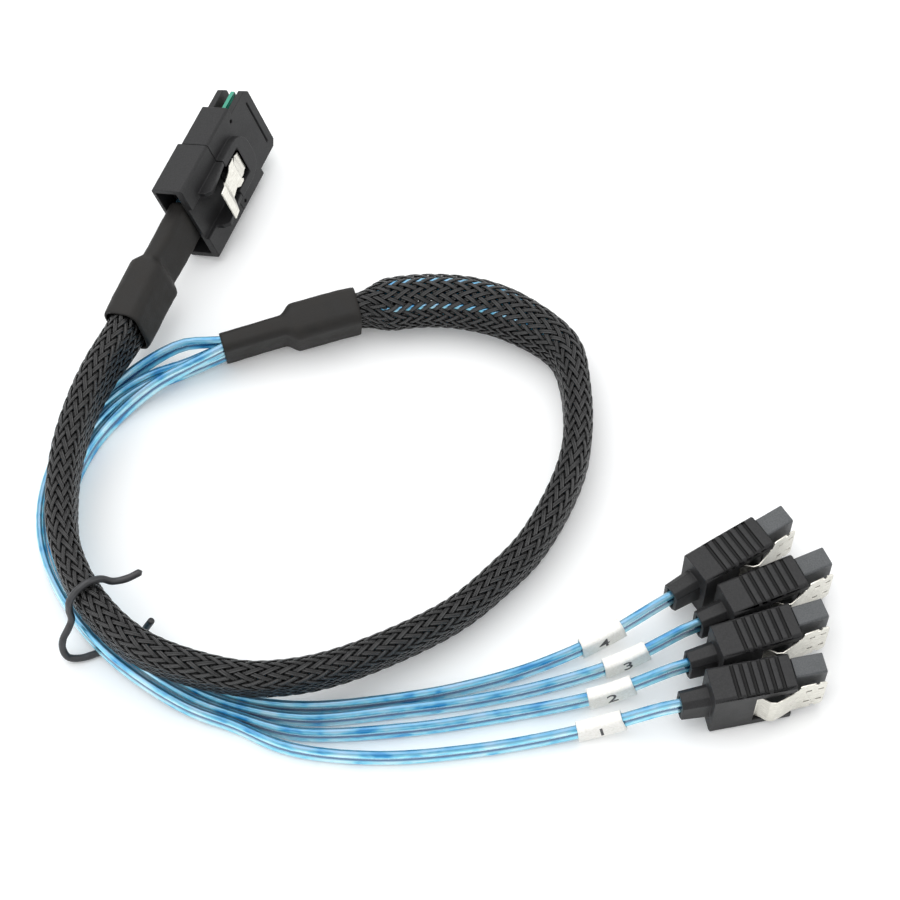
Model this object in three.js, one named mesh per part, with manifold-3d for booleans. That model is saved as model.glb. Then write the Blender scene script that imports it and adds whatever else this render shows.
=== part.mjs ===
// Mini SAS breakout cable, laid out on a table, in millimetres with Z up.
// One plug with a sprung latch feeds a braided trunk. A heat-shrunk breakout splits the trunk into
// four flat cables, and each of them ends in a latching SATA plug that stands on its narrow edge.
import * as THREE from 'three';
import { mergeVertices } from 'three/addons/utils/BufferGeometryUtils.js';
import Module from 'manifold-3d';

const wasm = await Module();
wasm.setup();

const CLEARANCE = 0.3; // between pieces that sit against each other
const OVERSHOOT = 1; // how far a cutting solid runs past the face that it cuts
const TABLE_CLEARANCE = 0.1; // between the lowest cord and the table

// Flat cable: two round ridges with a groove between them, standing on its narrow edge.
const CABLE_WIDTH = 4.6;
const CABLE_THICKNESS = 1.6;
const CABLE_GROOVE_THICKNESS = 1.0;
const CABLE_SPACING = 0.15; // between the four cables where they are packed two by two
const CABLE_FREE_STEPS = 26;

// Braided sleeve round the four cables.
const SLEEVE_WIDTH = 6;
const SLEEVE_HEIGHT = 11;
const SLEEVE_CORNER = 2.9;
const SLEEVE_WALL = 0.3;
const SLEEVE_BULGE_WIDTH = 11.4; // where the mesh opens before the breakout
const SLEEVE_BULGE_HEIGHT = 11.8;

// Heat-shrink tubes: a narrow part on the cables and a wide part over the end of the sleeve.
const SHRINK_WIDTH = 4.8;
const SHRINK_HEIGHT = 10.8;
const SHRINK_CORNER = 1.8;
const SHRINK_WALL = 0.45;
const SHRINK_WIDE_WIDTH = 8.8;
const SHRINK_WIDE_HEIGHT = 12.3;
const SHRINK_STEP = 3; // length of the slope between the two parts
const PLUG_SHRINK_NARROW = 13; // from the plug's rear to the step
const PLUG_SHRINK_WIDE = 17.5; // from the step to the end
const PLUG_SHRINK_TUCK = 1.8; // how far it reaches into the plug
const BREAKOUT_WIDE = 17;
const BREAKOUT_NARROW = 13.5;
const SLEEVE_LAP = 9; // how far each shrink tube reaches over the sleeve
const STATION_STEP = 10; // along the trunk
const SLEEVE_BULGE_REACH = 62; // from the start of the swelling to the breakout tube
const SLEEVE_BULGE_FULL = 24; // from the full swelling to the breakout tube
const SLEEVE_GATHER = 8; // over which the mesh is drawn in again
const PACK_LOOSE_ACROSS = 2; // how far the packed cables spread in the open mesh
const PACK_LOOSE_OVER = 0.3;
const CABLE_SETTLE = 25; // over which a cable leaves the roll of the breakout

// Mini SAS plug. Its own axes are X to the nose, Y across its width and Z out of the latch face.
const PLUG_WIDTH = 22;
const PLUG_THICKNESS = 7.2;
const PLUG_CHAMFER = 0.5;
const PLUG_REAR = [-58.3, 51.5]; // middle of the rear end, seen from above
const PLUG_HEADING = 69; // degrees
const PLUG_ROLL = 20; // degrees that the latch face looks upwards
const REAR_SHELL_LENGTH = 13.8;
const REAR_SHELL_PROUD = 1; // thicker than the front housing on its back face
const REAR_SHELL_WALL = 0.9;
const REAR_SHELL_SIDE_WALL = 1.2;
const FRONT_LENGTH = 11.4;
const NOSE_LENGTH = 8.2;
const NOSE_WIDTH = 18;
const NOSE_PLATE = 1.6;
const NOSE_CORNER = 1.2;
const LATCH_WELL_WIDTH = 9.4; // under the thumb tab
const LATCH_WELL_DEPTH = 1;
const GUARD_WALL = 1.1;
const GUARD_FRONT_HEIGHT = 1.8;
const GUARD_REAR_HEIGHT = 3;
const GUARD_START = 4.2; // from the rear end
const BRIDGE_WIDTH = 12;
const BRIDGE_END = 24;
const BRIDGE_CORNER = 4.6;
const BRIDGE_HEIGHT = 1.8;
const BRIDGE_SLOT_WIDTH = 7.8;
const BRIDGE_SLOT_END = 19.8;
const BRIDGE_SLOT_DEPTH = 2.4;
const FACE_SLOT_LENGTH = 12.6; // key slot near the front edge
const FACE_SLOT_WIDTH = 0.6;
const FACE_SLOT_DEPTH = 0.5;
const FACE_SLOT_SETBACK = 2;
const VENT_HOLE_RADIUS = 0.45;
const VENT_HOLE_DEPTH = 0.8;
const FRONT_VENT = [1.2, 3.2]; // back from the front housing's step, and in from its side
const REAR_VENT = [1.6, 1.6]; // forward from the housing's rear end, and in from the other side

// Paddle card and the moulded block that holds the wires to it.
const CARD_WIDTH = 16.4;
const CARD_THICKNESS = 1;
const CARD_SETBACK = 0.7; // behind the tips of the nose plates
const FINGER_COUNT = 18; // on each face
const FINGER_PITCH = 0.8;
const FINGER_LENGTH = 4.6;
const FINGER_SETBACK = 0.4; // behind the front edge of the card
const FINGER_WIDTH = 0.5;
const FINGER_HEIGHT = 0.08;
const WIRE_BLOCK_START = 4;
const WIRE_BLOCK_END = 12.4;
const CARD_GRIP = 3; // length of card held in the wire block

// Steel latch of the mini SAS plug.
const PLUG_LATCH_SHEET = 0.35;
const PLUG_LATCH_HEIGHT = 0.9; // above the latch face, at its root
const PLUG_LATCH_ROOT = 19.4;
const PLUG_LATCH_TAIL = 1.3; // held in the bridge
const PLUG_HOOK_WIDTH = 6.8;
const PLUG_NECK_WIDTH = 5;
const PLUG_TAB_WIDTH = 8.2;
const PLUG_TAB_END = 6;
// Bends of the strip from the thumb tab to the root: along from the tab's end, and height over the root.
const PLUG_LATCH_BENDS = [[0, 3.4], [2.2, 3.1], [4.6, 1.3], [7.4, 0.7], [10.4, 0.6], [12.4, 0]];
// Half outline of the strip from the neck to the hooks: along from the tab's end, and half width.
const PLUG_LATCH_EDGE = [
  [3, PLUG_TAB_WIDTH / 2], [4.8, PLUG_NECK_WIDTH / 2], [7.6, PLUG_NECK_WIDTH / 2], [8.8, PLUG_HOOK_WIDTH / 2],
  [11.2, PLUG_HOOK_WIDTH / 2], [10.5, PLUG_HOOK_WIDTH / 2 - 1], [12.2, PLUG_HOOK_WIDTH / 2 - 0.5],
  [13, PLUG_NECK_WIDTH / 2],
];

// SATA plug. Its own axes are X to the nose, Y across its width and Z out of the latch face.
const SATA_LENGTH = 16.8;
const SATA_WIDTH = 14.2;
const SATA_THICKNESS = 7.85;
const SATA_CHAMFER = 0.6;
const BOOT_LENGTH = 5.7;
const BOOT_WIDTH = 7.8;
const BOOT_THICKNESS = 4.8;
const BOOT_TAPER = 0.88;
const GRIP_GROOVES = 6;
const GRIP_PITCH = 1.85;
const GRIP_WIDTH = 0.75;
const GRIP_DEPTH = 0.45;
const GRIP_FRONT = 2.2; // from the front end to the first groove
const WINDOW_LENGTH = 8.1;
const WINDOW_WIDTH = 9.4;
const SATA_NOSE_LENGTH = 6.8;
const SATA_NOSE_WIDTH = 12.9;
const SATA_NOSE_THICKNESS = 4.4;
const SATA_NOSE_OFFSET = -0.75; // towards the back face
const SATA_TAIL_LENGTH = 7.6; // part of the nose inside the overmould
const SATA_TAIL_WIDTH = 11.4;
const SATA_TAIL_THICKNESS = 3.8;
const BLADE_SLOT_WIDTH = 10.4;
const BLADE_SLOT_HEIGHT = 1.5;
const BLADE_SLOT_DEPTH = 6.2;
const BLADE_KEY_WIDTH = 1.5;
const BLADE_KEY_HEIGHT = 1.1;
const WAFER_LENGTH = 5;
const WAFER_WIDTH = 9.6;
const WAFER_HEIGHT = 2.2;
const CONTACT_COUNT = 7;
const CONTACT_PITCH = 1.27;
const CONTACT_WIDTH = 0.8;
const CONTACT_THICKNESS = 0.3;
const CONTACT_LENGTH = 5.4;

// Steel latch of a SATA plug, bent from one strip.
const SATA_LATCH_SHEET = 0.3;
const SATA_LATCH_WIDTH = 8.2;
const SATA_CATCH_WIDTH = 10;
const SATA_LATCH_HEIGHT = 2.9; // above the plug's middle plane, at its root
const SATA_PAD_HEIGHT = 5.1;
const SATA_CATCH_HEIGHT = 2.75;
const SATA_LATCH_TAIL = 1.6; // held in the overmould
const SATA_PAD_PLACES = [2.6, 3.8, 5.4]; // bends of the thumb pad, forward from the window's rear end
const SATA_PAD_DIPS = [0.3, 0, 0.5]; // how far each of those bends is below the top of the pad
const CATCH_SLOT_PLACES = [1.9, 4.4]; // small slots in the catch plate, back from the nose tip
const CATCH_SLOT_LENGTH = 1.2;
const CATCH_SLOT_WIDTH = 0.6;
const CATCH_SLOT_SPREAD = 4.5; // between the two rows of slots
const SATA_CABLE_REACH = 6; // how far a flat cable reaches into the overmould

// Where each SATA plug stands: middle of the overmould's rear end, and its heading in degrees.
const SATA_PLACES = [
  { x: 51.1, y: -62.3, heading: 11.5 },
  { x: 52.9, y: -52.8, heading: 18 },
  { x: 55.3, y: -43.3, heading: 24 },
  { x: 49.6, y: -36.4, heading: 32.5 },
];

// Paper labels folded round the flat cables.
const LABEL_LENGTH = 9.6;
const LABEL_WALL = 0.25;
const LABEL_FIT = 0.3;
const LABEL_TO_BOOT = 16.3; // from its middle to the end of the boot

const TIE_DIAMETER = 1.5;
const TIE_SIDES = 8;

// Trunk route after the plug's straight exit, hand placed: x, y, height and roll in degrees.
const TRUNK_ROUTE = [
  [-65.2, 36.6, 11.3, -18],
  [-70.2, 22.6, 11.3, -12],
  [-74.9, 12.2, 11.5, -6],
  [-78, 2.8, 11.5, 0],
  [-80, -7.8, 11.3, 0],
  [-80.2, -18.8, 11.6, 0],
  [-78.6, -29.6, 12, 0],
  [-72.5, -42.5, 12.3, 0],
  [-61.2, -53.4, 12.3, -6],
  [-42.8, -59.2, 11.2, -12],
  [-32.6, -58.8, 10.3, -12],
  [-21.2, -55.1, 8.4, -12],
  [-0.2, -43.6, 6.2, -12],
  [9.6, -35, 6.1, -8],
  [17.7, -25.4, 6, -4],
  [26.3, -5.9, 6.1, 0],
  [26.9, 12.9, 6.2, 0],
  [24.4, 21.6, 6.3, 0],
  [14.1, 29.9, 6.6, 6],
  [4.5, 33.3, 7, 10],
  [-6.6, 34, 7.1, 14],
  [-19.4, 31.6, 7.1, 15],
  [-35.4, 26.6, 6.8, 15],
];
const TRUNK_END = [-49.6, 22.2, 5.8, 15];

// Shared route of the four flat cables under and beside the trunk: x, y and height above the table.
const BUNDLE_ROUTE = [
  [-57.2, 19.6, 0],
  [-65.4, 15.8, 0],
  [-73.2, 9.4, 0],
  [-79, 0.8, 0],
  [-82.4, -8.9, 0],
  [-83, -19.2, 0.5],
  [-80.6, -29.3, 1.3],
  [-75, -39.6, 1.8],
  [-68.6, -47.4, 1.8],
  [-60, -54.6, 1.8],
  [-50.6, -60, 0.7],
  [-42.4, -62.9, 0],
];
// How far the upper two cables still stand above the lower two at each point of the shared route.
const UPPER_LIFT = [1, 0.5, 0.05];
const BUNDLE_PITCH = 1.9;

// Own route of each flat cable from the shared route to its SATA plug: x, y and height.
const FAN_ROUTES = [
  [[-32, -70.6, 0], [-14.1, -72.6, 0], [5.6, -70.9, 0], [19.9, -68.4, 0.3], [30.4, -66.3, 1.5]],
  [[-30.4, -67.4, 0], [-7.6, -66.4, 0], [10, -63.6, 0.1], [23.4, -61.1, 0.5], [32.2, -59.2, 1.6]],
  [[-28.6, -64.3, 0], [-10, -62.5, 0], [5.6, -60.2, 0], [20.1, -56.9, 0.3], [34.8, -52.3, 1.5]],
  [[-28.5, -61.7, 0], [-7.6, -59.5, 0], [4, -57.1, 0.1], [16.2, -53.4, 0.4], [30.4, -47.3, 1.6]],
];

// Twist tie, in its own frame at the trunk: along the trunk, out of the loop and up.
const TIE_PLACE = [-72.5, -42.5];
const TIE_HEADING = -52; // degrees, along the trunk
const TIE_ROUTE = [
  [2.6, -11.4, 15.2], [2, -8, 15], [1, -5.4, 15.4], [0.2, -3.6, 17.3], [0, -1, 18.9],
  [0, 1.6, 18.7], [0, 3.9, 16.8], [0, 4.7, 13.4], [0.2, 4.9, 9.6], [0.6, 6.2, 7.9],
  [1, 8, 6.1], [1.6, 8.9, 3.6], [2.8, 8.7, 1.5], [4.2, 6.8, 0.95], [5.4, 3.2, 0.85],
  [6.4, -0.6, 0.85], [7.2, -3.8, 0.9], [7.8, -6, 2.1], [8.4, -7.2, 4.6], [9, -8.2, 7],
];
const TIE_STEPS = 30;

// Solids and meshes

const AXES = {
  alongX: new THREE.Matrix4().makeBasis(
    new THREE.Vector3(0, 1, 0), new THREE.Vector3(0, 0, 1), new THREE.Vector3(1, 0, 0)),
  alongY: new THREE.Matrix4().makeBasis(
    new THREE.Vector3(0, 0, 1), new THREE.Vector3(1, 0, 0), new THREE.Vector3(0, 1, 0)),
  alongZ: new THREE.Matrix4(),
};

function solid(geometry) {
  const bare = geometry.clone();
  bare.deleteAttribute('normal');
  bare.deleteAttribute('uv');
  const welded = mergeVertices(bare, 1e-5);
  return new wasm.Manifold(new wasm.Mesh({
    numProp: 3,
    vertProperties: Float32Array.from(welded.attributes.position.array),
    triVerts: Uint32Array.from(welded.index.array),
  }));
}

function geometryOf(body) {
  const mesh = body.getMesh();
  const geometry = new THREE.BufferGeometry();
  geometry.setAttribute('position', new THREE.BufferAttribute(mesh.vertProperties, 3));
  geometry.setIndex(new THREE.BufferAttribute(mesh.triVerts, 1));
  const flat = geometry.toNonIndexed();
  flat.computeVertexNormals();
  return flat;
}

function shapeOf(points) {
  return new THREE.Shape(points.map(([x, y]) => new THREE.Vector2(x, y)));
}

// An outline pushed along one axis. Along X it is drawn in Y and Z, along Y in Z and X.
function prism(points, from, to, axis = 'alongZ') {
  const geometry = new THREE.ExtrudeGeometry(shapeOf(points), { depth: to - from, bevelEnabled: false });
  return solid(geometry.translate(0, 0, from).applyMatrix4(AXES[axis]));
}

function block([x0, x1], [y0, y1], [z0, z1]) {
  const geometry = new THREE.BoxGeometry(x1 - x0, y1 - y0, z1 - z0);
  return solid(geometry.translate((x0 + x1) / 2, (y0 + y1) / 2, (z0 + z1) / 2));
}

function chamfered(width, height, chamfer, centre = 0) {
  const w = width / 2;
  const h = height / 2;
  const corners = [
    [w, h - chamfer], [w - chamfer, h], [chamfer - w, h], [-w, h - chamfer],
    [-w, chamfer - h], [chamfer - w, -h], [w - chamfer, -h], [w, chamfer - h],
  ];
  return corners.map(([x, y]) => [x, y + centre]);
}

function roundedOutline(width, height, corner, pointsPerCorner = 4) {
  const points = [];
  const signs = [[1, 1], [-1, 1], [-1, -1], [1, -1]];
  signs.forEach(([sx, sy], quarter) => {
    for (let i = 0; i < pointsPerCorner; i += 1) {
      const angle = (quarter + i / (pointsPerCorner - 1)) * Math.PI / 2;
      points.push([
        sx * (width / 2 - corner) + corner * Math.cos(angle),
        sy * (height / 2 - corner) + corner * Math.sin(angle),
      ]);
    }
  });
  return points;
}

// A closed outline from its half at positive Y, listed along X.
function mirroredOutline(half) {
  return [...half.map(([x, y]) => [x, -y]), ...half.slice().reverse()];
}

function uprightPeg(radius, [x, y], from, to) {
  const geometry = new THREE.CylinderGeometry(radius, radius, to - from, 12);
  return solid(geometry.rotateX(Math.PI / 2).translate(x, y, (from + to) / 2));
}

function cut(body, ...tools) {
  return tools.reduce((rest, tool) => rest.subtract(tool), body);
}

function join(body, ...others) {
  return others.reduce((whole, other) => whole.add(other), body);
}

function radians(degrees) {
  return THREE.MathUtils.degToRad(degrees);
}

// Finishes

const FINISHES = {
  plugPlastic: { color: 0x3b3b3c, roughness: 0.55, metalness: 0 },
  nosePlastic: { color: 0x4a4e51, roughness: 0.5, metalness: 0 },
  board: { color: 0x2a9a80, roughness: 0.4, metalness: 0 },
  glue: { color: 0x222224, roughness: 0.6, metalness: 0 },
  steel: { color: 0xd6d4cc, roughness: 0.32, metalness: 1 },
  contact: { color: 0xc99a4e, roughness: 0.3, metalness: 1 },
  shrink: { color: 0x31302e, roughness: 0.75, metalness: 0 },
  braid: { color: 0x17181a, roughness: 0.5, metalness: 0 },
  jacket: { color: 0x3aaee6, roughness: 0.25, metalness: 0.1 },
  paper: { color: 0xf4f3ef, roughness: 0.8, metalness: 0 },
  tie: { color: 0x26272a, roughness: 0.45, metalness: 0 },
};

function mesh(name, geometry, finish) {
  const made = new THREE.Mesh(geometry, new THREE.MeshStandardMaterial(FINISHES[finish]));
  made.name = name;
  return made;
}

// Paths that are already cut into stations

// A station is a place on a path with its own sideways and upward directions. The directions carry
// the section's scale, so a tube can swell or step along its way.
class StationPath extends THREE.Curve {
  constructor(stations) {
    super();
    this.stations = stations;
  }

  getSpacedPoints() {
    return this.stations.map((station) => station.at.clone());
  }

  computeFrenetFrames() {
    return {
      tangents: this.stations.map((station) => station.along.clone()),
      normals: this.stations.map((station) => station.side.clone()),
      binormals: this.stations.map((station) => station.up.clone()),
    };
  }
}

function stationOn(at, along, roll) {
  const level = new THREE.Vector3(0, 0, 1).cross(along).normalize();
  const rise = along.clone().cross(level).normalize();
  const side = level.clone().multiplyScalar(Math.cos(roll)).addScaledVector(rise, -Math.sin(roll));
  const up = rise.clone().multiplyScalar(Math.cos(roll)).addScaledVector(level, Math.sin(roll));
  return { at, along, side, up };
}

function sweep(outline, hole, stations) {
  const shape = shapeOf(outline);
  if (hole) shape.holes.push(shapeOf(hole));
  const path = new StationPath(stations);
  return geometryOf(solid(new THREE.ExtrudeGeometry(shape, {
    steps: stations.length - 1, extrudePath: path, bevelEnabled: false,
  })));
}

function offsetStation(station, across, over) {
  const at = station.at.clone().addScaledVector(station.side, across).addScaledVector(station.up, over);
  return { ...station, at };
}

function scaledStation(station, sideScale, upScale) {
  return {
    ...station,
    side: station.side.clone().multiplyScalar(sideScale),
    up: station.up.clone().multiplyScalar(upScale),
  };
}

// Mini SAS plug

const halfPlug = PLUG_THICKNESS / 2;
const shellFloor = -halfPlug - REAR_SHELL_PROUD;
const wellFloor = halfPlug - LATCH_WELL_DEPTH;
const cavityTop = wellFloor - REAR_SHELL_WALL;
const cavityFloor = shellFloor + REAR_SHELL_WALL;
const cavityMiddle = (cavityTop + cavityFloor) / 2;
const cavityHalfWidth = PLUG_WIDTH / 2 - REAR_SHELL_SIDE_WALL;
const frontStart = REAR_SHELL_LENGTH + CLEARANCE;
const frontEnd = REAR_SHELL_LENGTH + FRONT_LENGTH;
const noseTip = frontEnd + NOSE_LENGTH;
const noseGap = halfPlug - NOSE_PLATE;

function rearShell() {
  const thickness = PLUG_THICKNESS + REAR_SHELL_PROUD;
  const outline = chamfered(PLUG_WIDTH, thickness, PLUG_CHAMFER, -REAR_SHELL_PROUD / 2);
  const shell = prism(outline, 0, REAR_SHELL_LENGTH, 'alongX');
  const through = [-OVERSHOOT, REAR_SHELL_LENGTH + OVERSHOOT];
  const cavity = block(through, [-cavityHalfWidth, cavityHalfWidth], [cavityFloor, cavityTop]);
  const wellHalf = LATCH_WELL_WIDTH / 2;
  const well = block(through, [-wellHalf, wellHalf], [wellFloor, halfPlug + OVERSHOOT]);
  const sunk = halfPlug - PLUG_CHAMFER;
  const guardSide = [
    [sunk, GUARD_START], [sunk, REAR_SHELL_LENGTH], [halfPlug + GUARD_FRONT_HEIGHT, REAR_SHELL_LENGTH],
    [halfPlug + GUARD_REAR_HEIGHT, GUARD_START + OVERSHOOT], [halfPlug + GUARD_REAR_HEIGHT / 2, GUARD_START],
  ];
  const guards = [-1, 1].map((hand) => {
    const inner = hand * wellHalf;
    const outer = inner + hand * GUARD_WALL;
    return prism(guardSide, Math.min(inner, outer), Math.max(inner, outer), 'alongY');
  });
  return cut(join(shell, ...guards), cavity, well);
}

function frontHousing() {
  const middle = prism(chamfered(PLUG_WIDTH, PLUG_THICKNESS, PLUG_CHAMFER), frontStart, frontEnd, 'alongX');
  const side = NOSE_WIDTH / 2;
  const plateHalf = [[frontStart, side], [noseTip - NOSE_CORNER, side], [noseTip, side - NOSE_CORNER]];
  const plates = prism(mirroredOutline(plateHalf), -halfPlug, halfPlug);
  const cardRoom = CARD_WIDTH / 2 + CLEARANCE;
  const cardGap = block(
    [frontStart - OVERSHOOT, noseTip + OVERSHOOT], [-cardRoom, cardRoom], [-noseGap, noseGap]);
  const openSides = block([frontEnd, noseTip + OVERSHOOT], [-PLUG_WIDTH, PLUG_WIDTH], [-noseGap, noseGap]);
  const bridgeHalf = [[frontStart, BRIDGE_WIDTH / 2]];
  for (let i = 0; i <= 5; i += 1) {
    const angle = radians(90 - i * 18);
    bridgeHalf.push([
      BRIDGE_END - BRIDGE_CORNER + BRIDGE_CORNER * Math.cos(angle),
      BRIDGE_WIDTH / 2 - BRIDGE_CORNER + BRIDGE_CORNER * Math.sin(angle),
    ]);
  }
  const bridge = prism(mirroredOutline(bridgeHalf), halfPlug - PLUG_CHAMFER, halfPlug + BRIDGE_HEIGHT);
  const slotFloor = halfPlug + BRIDGE_HEIGHT - BRIDGE_SLOT_DEPTH;
  const latchSlot = block(
    [frontStart - OVERSHOOT, BRIDGE_SLOT_END], [-BRIDGE_SLOT_WIDTH / 2, BRIDGE_SLOT_WIDTH / 2],
    [slotFloor, halfPlug + BRIDGE_HEIGHT + OVERSHOOT]);
  const latchRoom = PLUG_NECK_WIDTH / 2 + CLEARANCE;
  const latchFoot = halfPlug + PLUG_LATCH_HEIGHT;
  const tailSlot = block(
    [BRIDGE_SLOT_END - OVERSHOOT, PLUG_LATCH_ROOT + PLUG_LATCH_TAIL + CLEARANCE], [-latchRoom, latchRoom],
    [latchFoot - CLEARANCE, latchFoot + PLUG_LATCH_SHEET + CLEARANCE]);
  const slotFront = noseTip - FACE_SLOT_SETBACK;
  const faceSlot = block(
    [slotFront - FACE_SLOT_WIDTH, slotFront], [-FACE_SLOT_LENGTH / 2, FACE_SLOT_LENGTH / 2],
    [halfPlug - FACE_SLOT_DEPTH, halfPlug + OVERSHOOT]);
  const ventPlaces = [
    [frontEnd - FRONT_VENT[0], PLUG_WIDTH / 2 - FRONT_VENT[1]],
    [frontStart + REAR_VENT[0], REAR_VENT[1] - PLUG_WIDTH / 2],
  ];
  const vents = ventPlaces.map(
    (place) => uprightPeg(VENT_HOLE_RADIUS, place, halfPlug - VENT_HOLE_DEPTH, halfPlug + OVERSHOOT));
  return cut(join(middle, plates, bridge), cardGap, openSides, latchSlot, tailSlot, faceSlot, ...vents);
}

function wireBlock() {
  const body = block(
    [WIRE_BLOCK_START, WIRE_BLOCK_END], [CLEARANCE - cavityHalfWidth, cavityHalfWidth - CLEARANCE],
    [cavityFloor + CLEARANCE, cavityTop - CLEARANCE]);
  const grip = CARD_THICKNESS / 2 + CLEARANCE;
  const slit = block(
    [WIRE_BLOCK_END - CARD_GRIP - CLEARANCE, WIRE_BLOCK_END + OVERSHOOT],
    [-CARD_WIDTH / 2 - CLEARANCE, CARD_WIDTH / 2 + CLEARANCE], [-grip, grip]);
  return cut(body, slit);
}

function paddleCard() {
  const start = WIRE_BLOCK_END - CARD_GRIP;
  const tip = noseTip - CARD_SETBACK;
  const edge = CARD_WIDTH / 2;
  const board = block([start, tip], [-edge, edge], [-CARD_THICKNESS / 2, CARD_THICKNESS / 2]);
  const fingerFront = tip - FINGER_SETBACK;
  const fingers = [];
  for (let i = 0; i < FINGER_COUNT; i += 1) {
    const y = (i - (FINGER_COUNT - 1) / 2) * FINGER_PITCH;
    const across = [y - FINGER_WIDTH / 2, y + FINGER_WIDTH / 2];
    const reach = CARD_THICKNESS / 2 + FINGER_HEIGHT;
    fingers.push(block([fingerFront - FINGER_LENGTH, fingerFront], across, [-reach, reach]));
  }
  return join(board, ...fingers);
}

// Side view of a bent strip, drawn in Z and X for a prism along Y.
function bentStrip(line, sheet) {
  const lower = [];
  const upper = [];
  line.forEach(([x, z], i) => {
    const before = line[Math.max(i - 1, 0)];
    const after = line[Math.min(i + 1, line.length - 1)];
    const along = new THREE.Vector2(after[0] - before[0], after[1] - before[1]).normalize();
    lower.push([z - along.x * sheet / 2, x + along.y * sheet / 2]);
    upper.push([z + along.x * sheet / 2, x - along.y * sheet / 2]);
  });
  return [...lower, ...upper.reverse()];
}

function plugLatch() {
  const base = halfPlug + PLUG_LATCH_HEIGHT + PLUG_LATCH_SHEET / 2;
  const rootEnd = PLUG_LATCH_ROOT + PLUG_LATCH_TAIL;
  const line = PLUG_LATCH_BENDS.map(([along, height]) => [PLUG_TAB_END + along, base + height]);
  line.push([rootEnd, base]);
  const tab = PLUG_TAB_WIDTH / 2;
  const strip = prism(bentStrip(line, PLUG_LATCH_SHEET), -tab, tab, 'alongY');
  const half = [
    [PLUG_TAB_END - OVERSHOOT, tab],
    ...PLUG_LATCH_EDGE.map(([along, across]) => [PLUG_TAB_END + along, across]),
    [rootEnd + OVERSHOOT, PLUG_NECK_WIDTH / 2],
  ];
  return strip.intersect(prism(mirroredOutline(half), 0, PLUG_THICKNESS * 2));
}

// SATA plug

const halfSata = SATA_THICKNESS / 2;
const windowStart = SATA_LENGTH - WINDOW_LENGTH;
const noseFloor = SATA_NOSE_OFFSET - SATA_NOSE_THICKNESS / 2;
const noseTop = SATA_NOSE_OFFSET + SATA_NOSE_THICKNESS / 2;
const tailTop = SATA_NOSE_OFFSET + SATA_TAIL_THICKNESS / 2;
const tailStart = SATA_LENGTH - SATA_TAIL_LENGTH;
const cableRoom = [CABLE_WIDTH + 2 * CLEARANCE, CABLE_THICKNESS + 2 * CLEARANCE];

function sataBody() {
  const body = prism(chamfered(SATA_WIDTH, SATA_THICKNESS, SATA_CHAMFER), 0, SATA_LENGTH, 'alongX');
  const bootShape = shapeOf(chamfered(BOOT_WIDTH, BOOT_THICKNESS, BOOT_THICKNESS / 4));
  const bootRear = BOOT_LENGTH + OVERSHOOT / 2;
  const boot = new THREE.ExtrudeGeometry(bootShape, { depth: bootRear, bevelEnabled: false });
  const corners = boot.attributes.position;
  for (let i = 0; i < corners.count; i += 1) {
    const scale = corners.getZ(i) < bootRear / 2 ? BOOT_TAPER : 1;
    corners.setXY(i, corners.getX(i) * scale, corners.getY(i) * scale);
  }
  const bootSolid = solid(boot.applyMatrix4(AXES.alongX).translate(-BOOT_LENGTH, 0, 0));
  const tools = [];
  for (let i = 0; i < GRIP_GROOVES; i += 1) {
    const x = SATA_LENGTH - GRIP_FRONT - i * GRIP_PITCH;
    [-1, 1].forEach((hand) => {
      const outer = hand * (SATA_WIDTH / 2 + OVERSHOOT);
      const inner = hand * (SATA_WIDTH / 2 - GRIP_DEPTH);
      const across = [Math.min(inner, outer), Math.max(inner, outer)];
      tools.push(block([x - GRIP_WIDTH, x], across, [-SATA_THICKNESS, SATA_THICKNESS]));
    });
  }
  const front = SATA_LENGTH + OVERSHOOT;
  const pocketHalf = SATA_TAIL_WIDTH / 2 + CLEARANCE;
  tools.push(block(
    [tailStart - CLEARANCE, front], [-pocketHalf, pocketHalf],
    [SATA_NOSE_OFFSET - SATA_TAIL_THICKNESS / 2 - CLEARANCE, tailTop + CLEARANCE]));
  tools.push(block([windowStart, front], [-WINDOW_WIDTH / 2, WINDOW_WIDTH / 2], [tailTop, SATA_THICKNESS]));
  tools.push(block(
    [windowStart - SATA_LATCH_TAIL - CLEARANCE, windowStart + OVERSHOOT],
    [-SATA_LATCH_WIDTH / 2 - CLEARANCE, SATA_LATCH_WIDTH / 2 + CLEARANCE],
    [SATA_LATCH_HEIGHT - CLEARANCE, SATA_LATCH_HEIGHT + SATA_LATCH_SHEET + CLEARANCE]));
  tools.push(block(
    [-BOOT_LENGTH - OVERSHOOT, SATA_CABLE_REACH + CLEARANCE], [-cableRoom[0] / 2, cableRoom[0] / 2],
    [-cableRoom[1] / 2, cableRoom[1] / 2]));
  return cut(join(body, bootSolid), ...tools);
}

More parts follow.
